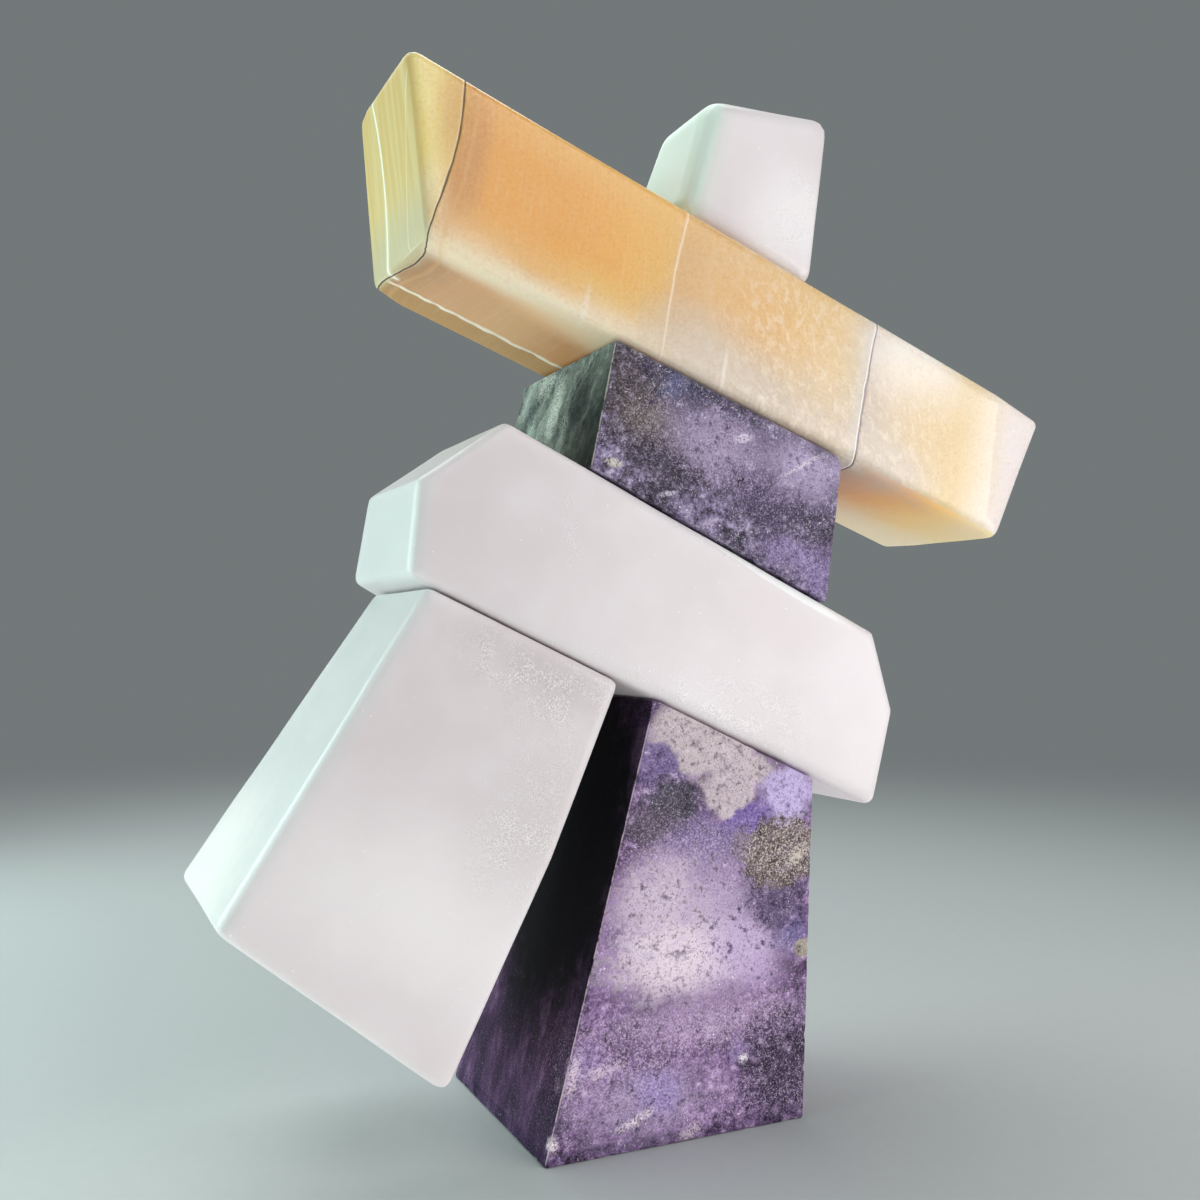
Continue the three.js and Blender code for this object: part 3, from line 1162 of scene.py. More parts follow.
@dataclass(kw_only=True)
class Stone:
    """One carved stone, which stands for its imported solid."""

    node: str
    slot: Slot
    finish: Alabaster | Lepidolite | Calcite
    skin: Skin = field(default_factory=Skin)
    flank_looks: Triple = (-1.0, 0.0, 0.0)
    foot: float = 0.05

    def __post_init__(self) -> None:
        """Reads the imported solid."""
        self.block = Block(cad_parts[self.node])
        self.corners = self.block.corners()
        self.flank = self.block.towards(self.flank_looks)

    def fine_area(self) -> FineArea | None:
        """Where the mesh is finer than elsewhere, or None."""
        return None

    def extra_measures(self, points: np.ndarray) -> dict[str, np.ndarray]:
        """Measures that only this stone's finish needs, by name, in millimetres."""
        return {}

    def extra_relief(self, points: np.ndarray, arris: np.ndarray) -> np.ndarray:
        """Relief that only this stone has, inward and in millimetres."""
        return np.zeros(len(points))

    def shaped(self, points: np.ndarray) -> np.ndarray:
        """The stone's points with the wear that only this stone has."""
        return points

    def build(self) -> bpy.types.Object:
        """Builds the stone and puts it in place of its solid.

        Returns:
            The new object.
        """
        points, triangles = self._woven()
        points, moved = self._worn(points)
        points = self.shaped(self._smoothed(points, triangles, moved))
        arris = self._arris(points)
        relief = self._relief(points, arris) * MM
        measures = {"arris": arris, "flank": self.flank.under(points) / MM, **self.extra_measures(points)}
        points = points - self._normals(points, triangles) * relief[:, None]
        stone = self._object(points, triangles, measures)
        stone.data.materials.append(self.finish.make())
        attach(stone, "root")
        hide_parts(self.node)
        log.info("%s: %d flat faces, %d triangles", stone.name, len(self.block.flats), len(triangles))
        return stone

    def edge_between(self, one: Flat, other: Flat, points: np.ndarray) -> np.ndarray:
        """How far points are from the sharp arris between two faces, in millimetres."""
        return np.hypot(one.under(points), other.under(points)) / MM

    def _woven(self) -> tuple[np.ndarray, np.ndarray]:
        """The sharp stone as one mesh of small triangles.

        Returns:
            Places in space, and triangles as triples of their numbers.
        """
        mesh = bmesh.new()
        fine = self.fine_area()
        for index in range(len(self.block.flats)):
            outline = self.block.outline(index, self.corners)
            places, triangles = Weaver(self.block, index, outline, self.skin).weave(fine)
            verts = [mesh.verts.new(place) for place in places]
            for a, b, c in triangles:
                mesh.faces.new((verts[a], verts[b], verts[c]))
        bmesh.ops.remove_doubles(mesh, verts=mesh.verts, dist=MM * 0.02)
        bmesh.ops.recalc_face_normals(mesh, faces=mesh.faces)
        mesh.verts.index_update()
        points = np.array([tuple(v.co) for v in mesh.verts])
        triangles = np.array([[v.index for v in f.verts] for f in mesh.faces])
        mesh.free()
        return points, triangles

    def _worn(self, points: np.ndarray) -> tuple[np.ndarray, np.ndarray]:
        """Draws the sharp arrises in to the solid's worn ones.

        Args:
            points: Places on the sharp stone.

        Returns:
            Places on the worn one, and which of them moved.
        """
        worn = np.array([tuple(self.block.surface.find_nearest(Vector(p))[0]) for p in points])
        moved = np.linalg.norm(worn - points, axis=1) > MM * 0.002
        return np.where(moved[:, None], worn, points), moved

    def _smoothed(self, points: np.ndarray, triangles: np.ndarray, moved: np.ndarray) -> np.ndarray:
        """Evens out the worn arrises.

        Args:
            points: Places.
            triangles: The triangles.
            moved: Which places are on an arris.

        Returns:
            The evened places.
        """
        starts = triangles.T.ravel()
        ends = np.roll(triangles, -1, axis=1).T.ravel()
        count = np.bincount(starts, minlength=len(points))[:, None]
        for _ in range(self.skin.smoothing):
            total = np.column_stack([np.bincount(starts, points[ends, i], len(points)) for i in range(3)])
            points = np.where(moved[:, None], (points + total / count) / 2, points)
        return points

    def _arris(self, points: np.ndarray) -> np.ndarray:
        """How far points are from the nearest sharp arris, along their own face.

        Args:
            points: Places.

        Returns:
            The distances in millimetres.
        """
        inside = self.block.inside(points)
        own = inside.argmin(1)
        cosines = np.clip(self.block.normals @ self.block.normals.T, -1, 1)
        sines = np.sqrt(1 - cosines**2)
        meets = (np.abs(cosines) < 0.9999)[own]
        return (np.maximum(inside, 0) / np.maximum(sines, 0.01)[own]).min(1, where=meets, initial=1) / MM

    @staticmethod
    def _normals(points: np.ndarray, triangles: np.ndarray) -> np.ndarray:
        """The surface's normals.

        Args:
            points: Places.
            triangles: The triangles.

        Returns:
            One normal for each place.
        """
        a, b, c = (points[triangles[:, i]] for i in range(3))
        across = np.tile(np.cross(b - a, c - a), (3, 1))
        corners = triangles.T.ravel()
        normals = np.column_stack([np.bincount(corners, across[:, i], len(points)) for i in range(3)])
        return normals / np.linalg.norm(normals, axis=1)[:, None]

    def _relief(self, points: np.ndarray, arris: np.ndarray) -> np.ndarray:
        """How far the worked surface lies under the true one.

        Args:
            points: Places.
            arris: Their distances from the nearest arris.

        Returns:
            The depths in millimetres.
        """
        skin = self.skin
        places = points / MM
        swell = np.clip(ripple(places, skin.swell_size, skin.seed), -2, 2) / 4 + 0.5
        chips = eased(ripple(places, skin.chip_size, skin.seed + 1), 0.7, 2.0)
        chips *= eased(skin.chip_reach - arris, 0, skin.chip_reach)
        relief = skin.swell * swell + skin.chip * chips + self.extra_relief(points, arris)
        return np.where(points[:, 2] < MM * self.foot, 0, relief)

    def _object(
        self, points: np.ndarray, triangles: np.ndarray, measures: Mapping[str, np.ndarray]
    ) -> bpy.types.Object:
        """Makes the object with its measures.

        Args:
            points: Places.
            triangles: The triangles.
            measures: What the finish needs to know at each place, in millimetres.

        Returns:
            The object, in the scene.
        """
        mesh = bpy.data.meshes.new(f"{self.node}_stone")
        mesh.from_pydata(points.tolist(), [], triangles.tolist())
        mesh.shade_smooth()
        for name, values in measures.items():
            attribute = mesh.attributes.new(name, "FLOAT", "POINT")
            attribute.data.foreach_set("value", np.ascontiguousarray(values, np.float32))
        made = bpy.data.objects.new(mesh.name, mesh)
        bpy.context.scene.collection.objects.link(made)
        return made


FRONT = -50.0


def front_cloud(x: float, z: float, wide: float, high: float, hue: int = 0xFFFFFF, **more: float) -> Cloud:
    """A cloud that shows on the figure's front.

    Args:
        x: Its centre across, in millimetres.
        z: Its centre's height.
        wide: Its half-width.
        high: Its half-height.
        hue: Its colour code.
        more: Its other values.

    Returns:
        The cloud.
    """
    return Cloud((x, FRONT, z), (wide, (wide + high) * 0.7, high), hue, **more)


class Dressing(Enum):
    """The finish of each stone."""

    STANDING_LEG = Lepidolite(
        "violet_leg",
        body=((0.2, 0x33263E), (0.38, 0x553F62), (0.50, 0x775B87), (0.62, 0x9A7CAA), (0.80, 0xC0A4CE)),
        clouds=(
            front_cloud(-7, 143, 13, 12, 0x7A6797, soft=0.5),
            front_cloud(-3, 126, 13, 10, 0x4A4655, soft=0.35, ragged=2.2),
            front_cloud(-12, 116, 11, 8, 0x5A5060, soft=0.5),
            front_cloud(14, 146, 29, 13, 0xCDBEC3, turn=25, soft=0.14),
            front_cloud(21, 129, 11, 11, 0xCBBBC2, soft=0.16),
            front_cloud(47, 126, 13, 10.5, 0xC8B7E6, turn=-12, soft=0.3),
            front_cloud(27, 116.5, 12, 5, 0x7F66AC, turn=-16, soft=0.4),
            front_cloud(10, 108, 18, 9, 0x8A76A4, soft=0.5, ragged=2.6),
            front_cloud(4, 77, 31, 25, 0xBCA6CA, soft=0.35, ragged=4.5),
            front_cloud(-10, 90, 16, 14, 0xD8C5D9, soft=0.5, ragged=5.0, strength=0.9),
            front_cloud(0, 68, 25, 14, 0xEFDDEC, soft=0.5, ragged=4.6),
            front_cloud(29, 68, 17, 14, 0xCDB6DD, soft=0.6, ragged=4.6, strength=0.9),
            front_cloud(42, 85, 13, 12, 0x625276, soft=0.45, ragged=3.0),
            front_cloud(44, 104, 17, 12.5, 0x6E5E60, soft=0.1, ragged=1.3),
            front_cloud(26, 107, 6, 5, 0x85767E, soft=0.3, ragged=1.6, strength=0.7),
            front_cloud(50, 71, 6, 7, 0x6C68A0, soft=0.7, ragged=2.0, strength=0.6),
            front_cloud(12, 43, 36, 7, 0xB49AC0, soft=0.7, ragged=3.4, strength=0.8),
            front_cloud(55, 64, 4, 5, 0xA9A090, soft=0.3, ragged=1.2),
            front_cloud(44, 22, 18, 20, 0x3A2D47, soft=0.6, ragged=2.4, strength=0.95),
            front_cloud(-14, 17, 26, 12, 0xB59FC6, soft=0.7, ragged=3.2, strength=0.7),
            front_cloud(-10, 21, 9, 7, 0xA08CC6, soft=0.6, strength=0.85),
            front_cloud(-38, 34, 9, 6, 0x9880B4, soft=0.6, strength=0.7),
            front_cloud(24, 30, 7, 4, 0x9A82B8, soft=0.6, strength=0.7),
        ),
        wisps=(
            front_cloud(-43, 32, 1.8, 8, 0xF0DDEA, turn=18, soft=0.8, ragged=3.0, strength=0.8),
            front_cloud(-32, 31, 6, 2.0, 0xE7D3E6, turn=-8, soft=0.8, ragged=3.0, strength=0.7),
            front_cloud(-18, 11.5, 6, 1.3, 0xF3E6F0, turn=-20, soft=0.8, ragged=3.2, strength=0.85),
            front_cloud(4, 3.5, 4.5, 2.4, 0xEAD9E4, turn=-24, soft=0.5, strength=0.7),
            front_cloud(26.5, 27.5, 1.9, 1.5, 0xF8F0F6, soft=0.7, ragged=3.5),
            front_cloud(-51, 8, 1.8, 2.4, 0xF8ECF0, soft=0.7, ragged=3.5),
            front_cloud(51, 102, 6, 2.6, 0xD9CFC4, turn=-42, soft=0.5, strength=0.8),
        ),
        layer=Layer(
            stops=((0.1, 0x1E1426), (0.4, 0x33213E), (0.6, 0x52385C), (0.9, 0x947698)),
            bands=(8.0, 12.0, 30.0),
            hairs=(0.7, 0.9, 7.0),
            turn=15,
            curl=0.3,
        ),
        # Painted shadow of the raised leg on the leg's left side.
        painted_shade=Cloud((-36, -10, 108), (46, 50, 72), 0x04040A, turn=15, soft=0.3, ragged=0.7, strength=0.98),
        crowds=(
            front_cloud(44, 104, 16, 12, 0xDDD2C6, soft=0.3, ragged=1.3, strength=0.75),
            front_cloud(2, 108, 22, 8, 0xD8C4DC, soft=0.7, ragged=2.0, strength=0.5),
            front_cloud(6, 40, 44, 9, 0xD4C0DA, soft=0.8, ragged=2.4, strength=0.6),
            front_cloud(-22, 26, 22, 12, 0xCDB6D6, soft=0.8, ragged=2.4, strength=0.5),
            front_cloud(20, 12, 20, 7, 0xC9B4D4, soft=0.8, ragged=2.4, strength=0.45),
        ),
        cracks=0.7,
    )
    TORSO = Lepidolite(
        "violet_torso",
        body=((0.2, 0x2A2636), (0.38, 0x413A50), (0.50, 0x5F566F), (0.62, 0x7E7294), (0.80, 0xA89CBC)),
        clouds=(
            front_cloud(-15, 272, 17, 26, 0x544C50, turn=-14, soft=0.45, ragged=2.6),
            front_cloud(-14, 266, 7, 5, 0x766A66, soft=0.7, ragged=3.0, strength=0.8),
            front_cloud(4, 281, 22, 9.5, 0x444158, turn=24, soft=0.5, ragged=3.4),
            front_cloud(-3.5, 277.5, 4.5, 5.5, 0x7C80AC, soft=0.8, ragged=2.2, strength=0.5),
            front_cloud(18, 255, 22, 9.5, 0xB9A8C8, turn=24, soft=0.7, ragged=5.5, strength=0.7),
            front_cloud(27, 273, 17, 5, 0x4A4356, turn=24, soft=0.5, ragged=1.6, strength=0.6),
            front_cloud(25, 262, 8, 5, 0xA593B4, soft=0.7, ragged=2.2, strength=0.85),
            front_cloud(57, 252, 17, 9, 0xBFB0D4, turn=24, soft=0.7, ragged=4.6, strength=0.8),
            front_cloud(32, 244, 14, 6, 0x62547A, turn=24, soft=0.6, ragged=3.0, strength=0.6),
            front_cloud(-10, 250, 18, 6.5, 0x413A4E, turn=20, soft=0.6, ragged=3.0, strength=0.8),
            front_cloud(38, 234, 17, 7, 0x4C4260, turn=24, soft=0.6, ragged=3.2, strength=0.7),
            front_cloud(50, 217, 13, 6, 0x9482B4, turn=24, soft=0.6, ragged=3.2, strength=0.7),
            front_cloud(64, 210, 8, 9, 0x7A689A, soft=0.6, ragged=3.0, strength=0.7),
        ),
        wisps=(
            Cloud((-27, 14, 291), (8, 8, 7), 0xDDE3DE, soft=0.8, ragged=2.4, strength=0.8),
            Cloud((-30, -1, 276), (8, 4, 10), 0xE0E6E1, soft=0.8, ragged=2.8, strength=0.8),
            Cloud((-32, -14, 266), (8, 3, 7), 0xB4BDB7, soft=0.8, ragged=2.8, strength=0.7),
            Cloud((-33, 22, 268), (8, 4, 8), 0xBFD3C8, soft=0.8, ragged=2.4, strength=0.7),
            front_cloud(54, 252.5, 10, 0.9, 0xE4D8E6, turn=-27, soft=0.6, ragged=0.5, strength=0.75),
            front_cloud(27, 261, 4, 1.6, 0xE6DCEE, turn=-10, soft=0.5, strength=0.8),
            front_cloud(-27, 248.5, 3.2, 1.6, 0xDCD6C6, turn=10, soft=0.5, strength=0.9),
            front_cloud(-5, 238.5, 3.6, 0.9, 0xD9CFE2, turn=-12, soft=0.5, strength=0.8),
        ),
        layer=Layer(
            stops=((0.12, 0x232727), (0.36, 0x4B5251), (0.54, 0x78827C), (0.74, 0xA6AFA8), (0.9, 0xD6DDD6)),
            bands=(14.0, 14.0, 34.0),
            hairs=(0.6, 0.9, 5.0),
            turn=12,
            tip=35,
            curl=0.6,
        ),
        # Painted shade low on the front of the torso's left side.
        painted_shade=Cloud((-32, -46, 250), (26, 26, 40), 0x14191A, soft=0.7, ragged=1.2, strength=0.85),
        crowds=(
            front_cloud(-14, 266, 9, 9, 0xB9AFA6, soft=0.8, ragged=2.0, strength=0.4),
            front_cloud(20, 252, 30, 10, 0xBBA8C8, turn=24, soft=0.8, ragged=2.4, strength=0.5),
            front_cloud(52, 216, 16, 10, 0xB39CC8, turn=24, soft=0.8, ragged=2.4, strength=0.5),
        ),
        # Pale arrises, partly wear and partly a painted highlight.
        arris=0xCFC6B8,
    )
    RAISED_LEG = Alabaster(
        "white_leg",
        sugar=(
            front_cloud(-64, 175, 20, 8, turn=24, soft=0.8),
            front_cloud(-48, 164, 16, 12, soft=0.8),
            front_cloud(-65, 114, 14, 17, turn=20, soft=0.8),
            front_cloud(-54, 140, 12, 18, turn=20, soft=0.8, strength=0.7),
        ),
        # Painted shade under the hip beam, painted light low on the front and at the side's foot, and a
        # greyer band down the front.
        light_and_shade_veils=(
            front_cloud(-48, 172, 34, 12, 0xCBC1C1, turn=24, soft=0.9, strength=0.6),
            front_cloud(-92, 92, 52, 26, 0xF8F3F4, turn=24, soft=0.9, strength=0.8),
            Cloud((-166, 14, 98), (26, 44, 36), 0xFFF5F4, turn=30, soft=0.6, ragged=0.6),
            front_cloud(-60, 125, 18, 30, 0xD6CECF, turn=20, soft=0.9, strength=0.5),
        ),
    )
    HIP_BEAM = Alabaster(
        "white_hip",
        sugar=(
            front_cloud(-43, 228, 3.5, 17, turn=-4, soft=0.8, strength=0.7),
            front_cloud(8, 161, 38, 4.5, turn=25, soft=0.8),
            front_cloud(32, 158, 26, 11, turn=25, soft=0.8, strength=0.6),
            front_cloud(15, 221, 24, 2.6, turn=25, soft=0.6, strength=0.8),
        ),
        # Painted highlight: a white line along the hip's top arris.
        light_and_shade_veils=(front_cloud(36, 211.5, 42, 2.8, 0xFFFFFF, turn=28, soft=0.2, ragged=0.5, strength=0.9),),
    )
    HEAD = Alabaster(
        "white_head",
        sugar=(
            front_cloud(57, 360, 6, 10, soft=0.8),
            front_cloud(50, 343, 14, 11, soft=0.8),
        ),
        # Painted light: a mint band along the rounded left front arris, and a paler patch on the right.
        light_and_shade_veils=(
            Cloud((11.6, -41.8, 362), (3.4, 4.4, 90), 0xEAFFF4, turn=16, soft=0.7, ragged=0.1),
            Cloud((17, -46, 362), (3, 4, 90), 0xDCE2DC, turn=16, soft=0.8, ragged=0.1, strength=0.5),
            front_cloud(52, 348, 18, 20, 0xFCF8F9, soft=0.9, strength=0.8),
        ),
        # Painted light: the mint of the cool light on the head's left side.
        side=0xC2DCD0,
    )
    ARM_BEAM = Calcite(
        "banded_arms",
        length=300.7,
        front=(
            (0.0, 0xF4EBC2),
            (9.0, 0xF6E8A2),
            (20.0, 0xF6E594),
            (27.0, 0xF2DD90),
            (29.3, 0xE9CF86),
            (29.6, 0xD69A4C),
            (36.0, 0xE8A550),
            (50.0, 0xF1B050),
            (80.0, 0xF2B458),
            (100.0, 0xF1BC64),
            (114.0, 0xEBBC6A),
            (119.8, 0xE7BE80),
            (120.3, 0xE0B680),
            (134.0, 0xE4BC86),
            (156.0, 0xE9C48E),
            (178.0, 0xEBC892),
            (196.0, 0xE9CB9A),
            (206.0, 0xDCC8A8),
            (211.8, 0xD0C3B0),
            (212.3, 0xCABAAE),
            (222.0, 0xD4C6B4),
            (240.0, 0xDFCDAE),
            (262.0, 0xE6CE9C),
            # The pale stops towards the right end are partly its colour and partly painted light, which evens
            # the shading where the front turns onto the end's facet.
            (272.0, 0xEDDBB8),
            (286.0, 0xF3E9E4),
            (300.0, 0xEFE6E4),
        ),
        # Partly the underside's colour: brighter towards the right as painted glow of light through the
        # stone, darker over the torso as painted shade.
        under=(
            (28.0, 0xB9A07C),
            (31.0, 0xBE8E66),
            (45.0, 0xDAA67A),
            (75.0, 0xEAB682),
            (100.0, 0xDC965C),
            (125.0, 0xCC8048),
            (205.0, 0xC98A58),
            (222.0, 0xE7A46F),
            (240.0, 0xFAB567),
            (262.0, 0xFFD489),
            (284.0, 0xF8E2A8),
            (300.0, 0xF1E3CC),
        ),
        clouds=(
            Cloud((27, 0, 46), (5, 20, 15), 0xD3A85E, soft=0.8, ragged=0.8, strength=0.7),
            Cloud((22, 0, 10), (8, 30, 12), 0xFFF6D2, soft=0.8, ragged=0.8, strength=0.8),
            Cloud((66, 0, 34), (34, 40, 22), 0xEBA64C, turn=10, soft=0.8, strength=0.6),
            Cloud((98, 0, 11), (22, 10, 7), 0xF0C368, soft=0.8, strength=0.8),
            Cloud((80, 0, 56), (46, 20, 9), 0xEDBF74, soft=0.8, strength=0.6),
            Cloud((36, 0, 30), (5, 20, 20), 0xC28A54, soft=0.8, strength=0.5),
            Cloud((66, 0, 6), (44, 9, 9), 0xEBC58C, soft=0.9, ragged=1.0, strength=0.6),
            # The pale clouds at 80, 110 and 42 along, on the front-lower arris, are a painted highlight: the
            # sheen of the rounded arris.
            Cloud((80, 2, 0), (64, 9.5, 5.5), 0xFFF1DA, soft=0.8, ragged=0.7, strength=0.9),
            Cloud((92, 14, 0), (24, 8, 4), 0xFFD2A0, soft=0.9, ragged=0.4, strength=0.7),
            Cloud((110, 4, 1), (28, 18, 8), 0xFFEACA, soft=0.8, ragged=0.8, strength=0.8),
            Cloud((42, 2, 1), (16, 8.5, 7), 0xFFE8C6, soft=0.9, ragged=0.7, strength=0.65),
            Cloud((168, 0, 1), (52, 34, 21), 0xCFC2B4, soft=0.8, strength=0.85),
            Cloud((140, 0, 7), (20, 20, 15), 0xDED0C0, soft=0.8, strength=0.7),
            Cloud((157, 0, 34), (20, 20, 13), 0xEBB772, soft=0.8, strength=0.5),
            Cloud((147, 0, 9), (0.8, 8, 8), 0xFFF8EE, soft=0.6, ragged=0.4, strength=0.45),
            Cloud((88, 0, 4), (1.0, 8, 8), 0xFFF8EE, soft=0.6, ragged=0.4, strength=0.35),
            Cloud((234, 0, 52), (22, 20, 18), 0xFDF6EE, soft=0.8, strength=0.95),
            Cloud((278, 0, 30), (8, 20, 44), 0xF2E6D4, soft=0.9, strength=0.4),
            Cloud((248, 0, 28), (22, 20, 18), 0xE6C58C, soft=0.9, strength=0.6),
            Cloud((228, 0, 8), (18, 12, 8), 0xD8CABC, soft=0.8, strength=0.7),
        ),
    )


def honed(seed: int) -> Skin:
    """The skin of a violet stone.

    Args:
        seed: Which swell and chips it has.

    Returns:
        The skin.
    """
    rows = (0.3, 0.7, 1.2, 1.9, 2.8)
    return Skin(grid=1.5, rows=rows, spacing=0.8, swell=0.15, chip=0.4, smoothing=2, seed=seed)


@dataclass(kw_only=True)
class VioletStone(Stone):
    """A honed violet stone, whose left front arris is drawn pale, partly as wear and partly as a painted
    highlight.
    """

    slot: Slot = Slot.VIOLET

    def extra_measures(self, points: np.ndarray) -> dict[str, np.ndarray]:
        """The distance from the left front arris."""
        front = self.block.towards((0, -1, 0))
        return {"edge": self.edge_between(self.flank, front, points)}


@dataclass(kw_only=True)
class StandingLeg(VioletStone):
    """The leg that carries the figure."""

    node: str = "standing_leg"
    finish: Lepidolite = Dressing.STANDING_LEG.value
    skin: Skin = field(default_factory=lambda: honed(5))


@dataclass(kw_only=True)
class Torso(VioletStone):
    """The block between the beams, with a rough left side and a rounded right shoulder."""

    node: str = "torso"
    finish: Lepidolite = Dressing.TORSO.value
    skin: Skin = field(default_factory=lambda: honed(15))
    shoulder: float = 7.0
    roughness: float = 0.55
    roughness_size: float = 7.0
    bites: float = 1.3
    bite_size: float = 9.0

    def shaped(self, points: np.ndarray) -> np.ndarray:
        """Rounds the arris between the top and the right side.

        Args:
            points: Places.

        Returns:
            The places, drawn in to a round arris there.
        """
        top, side = self.block.towards((0.35, 0, 0.94)), self.block.towards((1, 0, 0))
        radius = self.shoulder * MM
        cosine = float(top.normal @ side.normal)
        over = np.array([radius - top.under(points), radius - side.under(points)])
        share = np.linalg.solve([[1, cosine], [cosine, 1]], over)
        offset = np.outer(share[0], top.normal) + np.outer(share[1], side.normal)
        length = np.linalg.norm(offset, axis=1)
        outside = (share.min(0) > 0) & (length > radius)
        drawn = points + offset * (radius / np.maximum(length, radius) - 1)[:, None]
        return np.where(outside[:, None], drawn, points)

    def extra_relief(self, points: np.ndarray, arris: np.ndarray) -> np.ndarray:
        """The rough left side and the bites out of its back arris.

        Args:
            points: Places.
            arris: Their distances from the nearest arris.

        Returns:
            The depths in millimetres.
        """
        places = points / MM
        on_flank = eased(1.5 - self.flank.under(points) / MM, 0, 1.2)
        rough = np.abs(ripple(places, self.roughness_size, 21)) + 0.4 * np.abs(ripple(places, 2.4, 22))
        rough = np.minimum(rough, 1.8) * eased(arris, 0.3, 3.0)
        back = self.edge_between(self.flank, self.block.towards((0, 1, 0)), points)
        bites = eased(ripple(places, self.bite_size, 23), -0.3, 1.6) * eased(4.5 - back, 0, 4.5)
        return self.roughness * rough * on_flank + self.bites * bites


@dataclass(kw_only=True)
class RaisedLeg(Stone):
    """The leg that hangs from the hip."""

    node: str = "raised_leg"
    slot: Slot = Slot.WHITE
    finish: Alabaster = Dressing.RAISED_LEG.value
    skin: Skin = field(default_factory=lambda: Skin(seed=2))


@dataclass(kw_only=True)
class HipBeam(Stone):
    """The lower beam."""

    node: str = "hip_beam"
    slot: Slot = Slot.WHITE
    finish: Alabaster = Dressing.HIP_BEAM.value
    skin: Skin = field(default_factory=lambda: Skin(seed=3))


@dataclass(kw_only=True)
class Head(Stone):
    """The small block on top."""

    node: str = "head"
    slot: Slot = Slot.WHITE
    finish: Alabaster = Dressing.HEAD.value
    skin: Skin = field(default_factory=lambda: Skin(grid=1.4, swell_size=35.0, seed=9))


class BeamAxes:
    """A beam's own axes: along it, behind its front and above its underside."""

    def __init__(self, block: Block, corners: np.ndarray) -> None:
        """Finds the axes.

        Args:
            block: The stone.
            corners: The sharp corners of the stone.
        """
        up = block.towards((0.35, 0, 0.94)).normal
        deep = -block.towards((0, -1, 0)).normal
        self.axes = np.array([np.cross(deep, up), deep, up])
        self.low = (corners @ self.axes.T).min(0)

    def of(self, points: np.ndarray) -> tuple[np.ndarray, np.ndarray, np.ndarray]:
        """Places in the beam's own axes.

        Args:
            points: Places in metres.

        Returns:
            How far along, behind and above, in millimetres.
        """
        own = (points @ self.axes.T - self.low) / MM
        return own[:, 0], own[:, 1], own[:, 2]


class Seam:
    """A healed crack that runs across a beam like a bent sheet."""

    WANDER = 0.08
    WANDER_SIZE = 6.0
    BENDS = 3

    def __init__(self, beam: BeamAxes, heights: Sequence[tuple], depths: Sequence[tuple], seed: int) -> None:
        """Keeps the seam's course as two smooth curves.

        Args:
            beam: The axes of the beam that it crosses.
            heights: Pairs of a height above the underside and how far along the seam is there.
            depths: Pairs of a depth behind the front and how far the seam has moved along there.
            seed: Which small wander it has.
        """
        self.beam = beam
        self.up, self.back = (
            np.polynomial.Polynomial.fit(*zip(*course), min(self.BENDS, len(course) - 1))
            for course in (heights, depths)
        )
        self.seed = seed

    def __call__(self, points: np.ndarray) -> np.ndarray:
        """How far points are to the right of the seam.

        Args:
            points: Places in metres.

        Returns:
            The distances in millimetres.
        """
        run, deep, rise = self.beam.of(points)
        course = self.up(rise) + self.back(deep) - self.back(0)
        return run - course - self.WANDER * ripple(points / MM, self.WANDER_SIZE, self.seed)


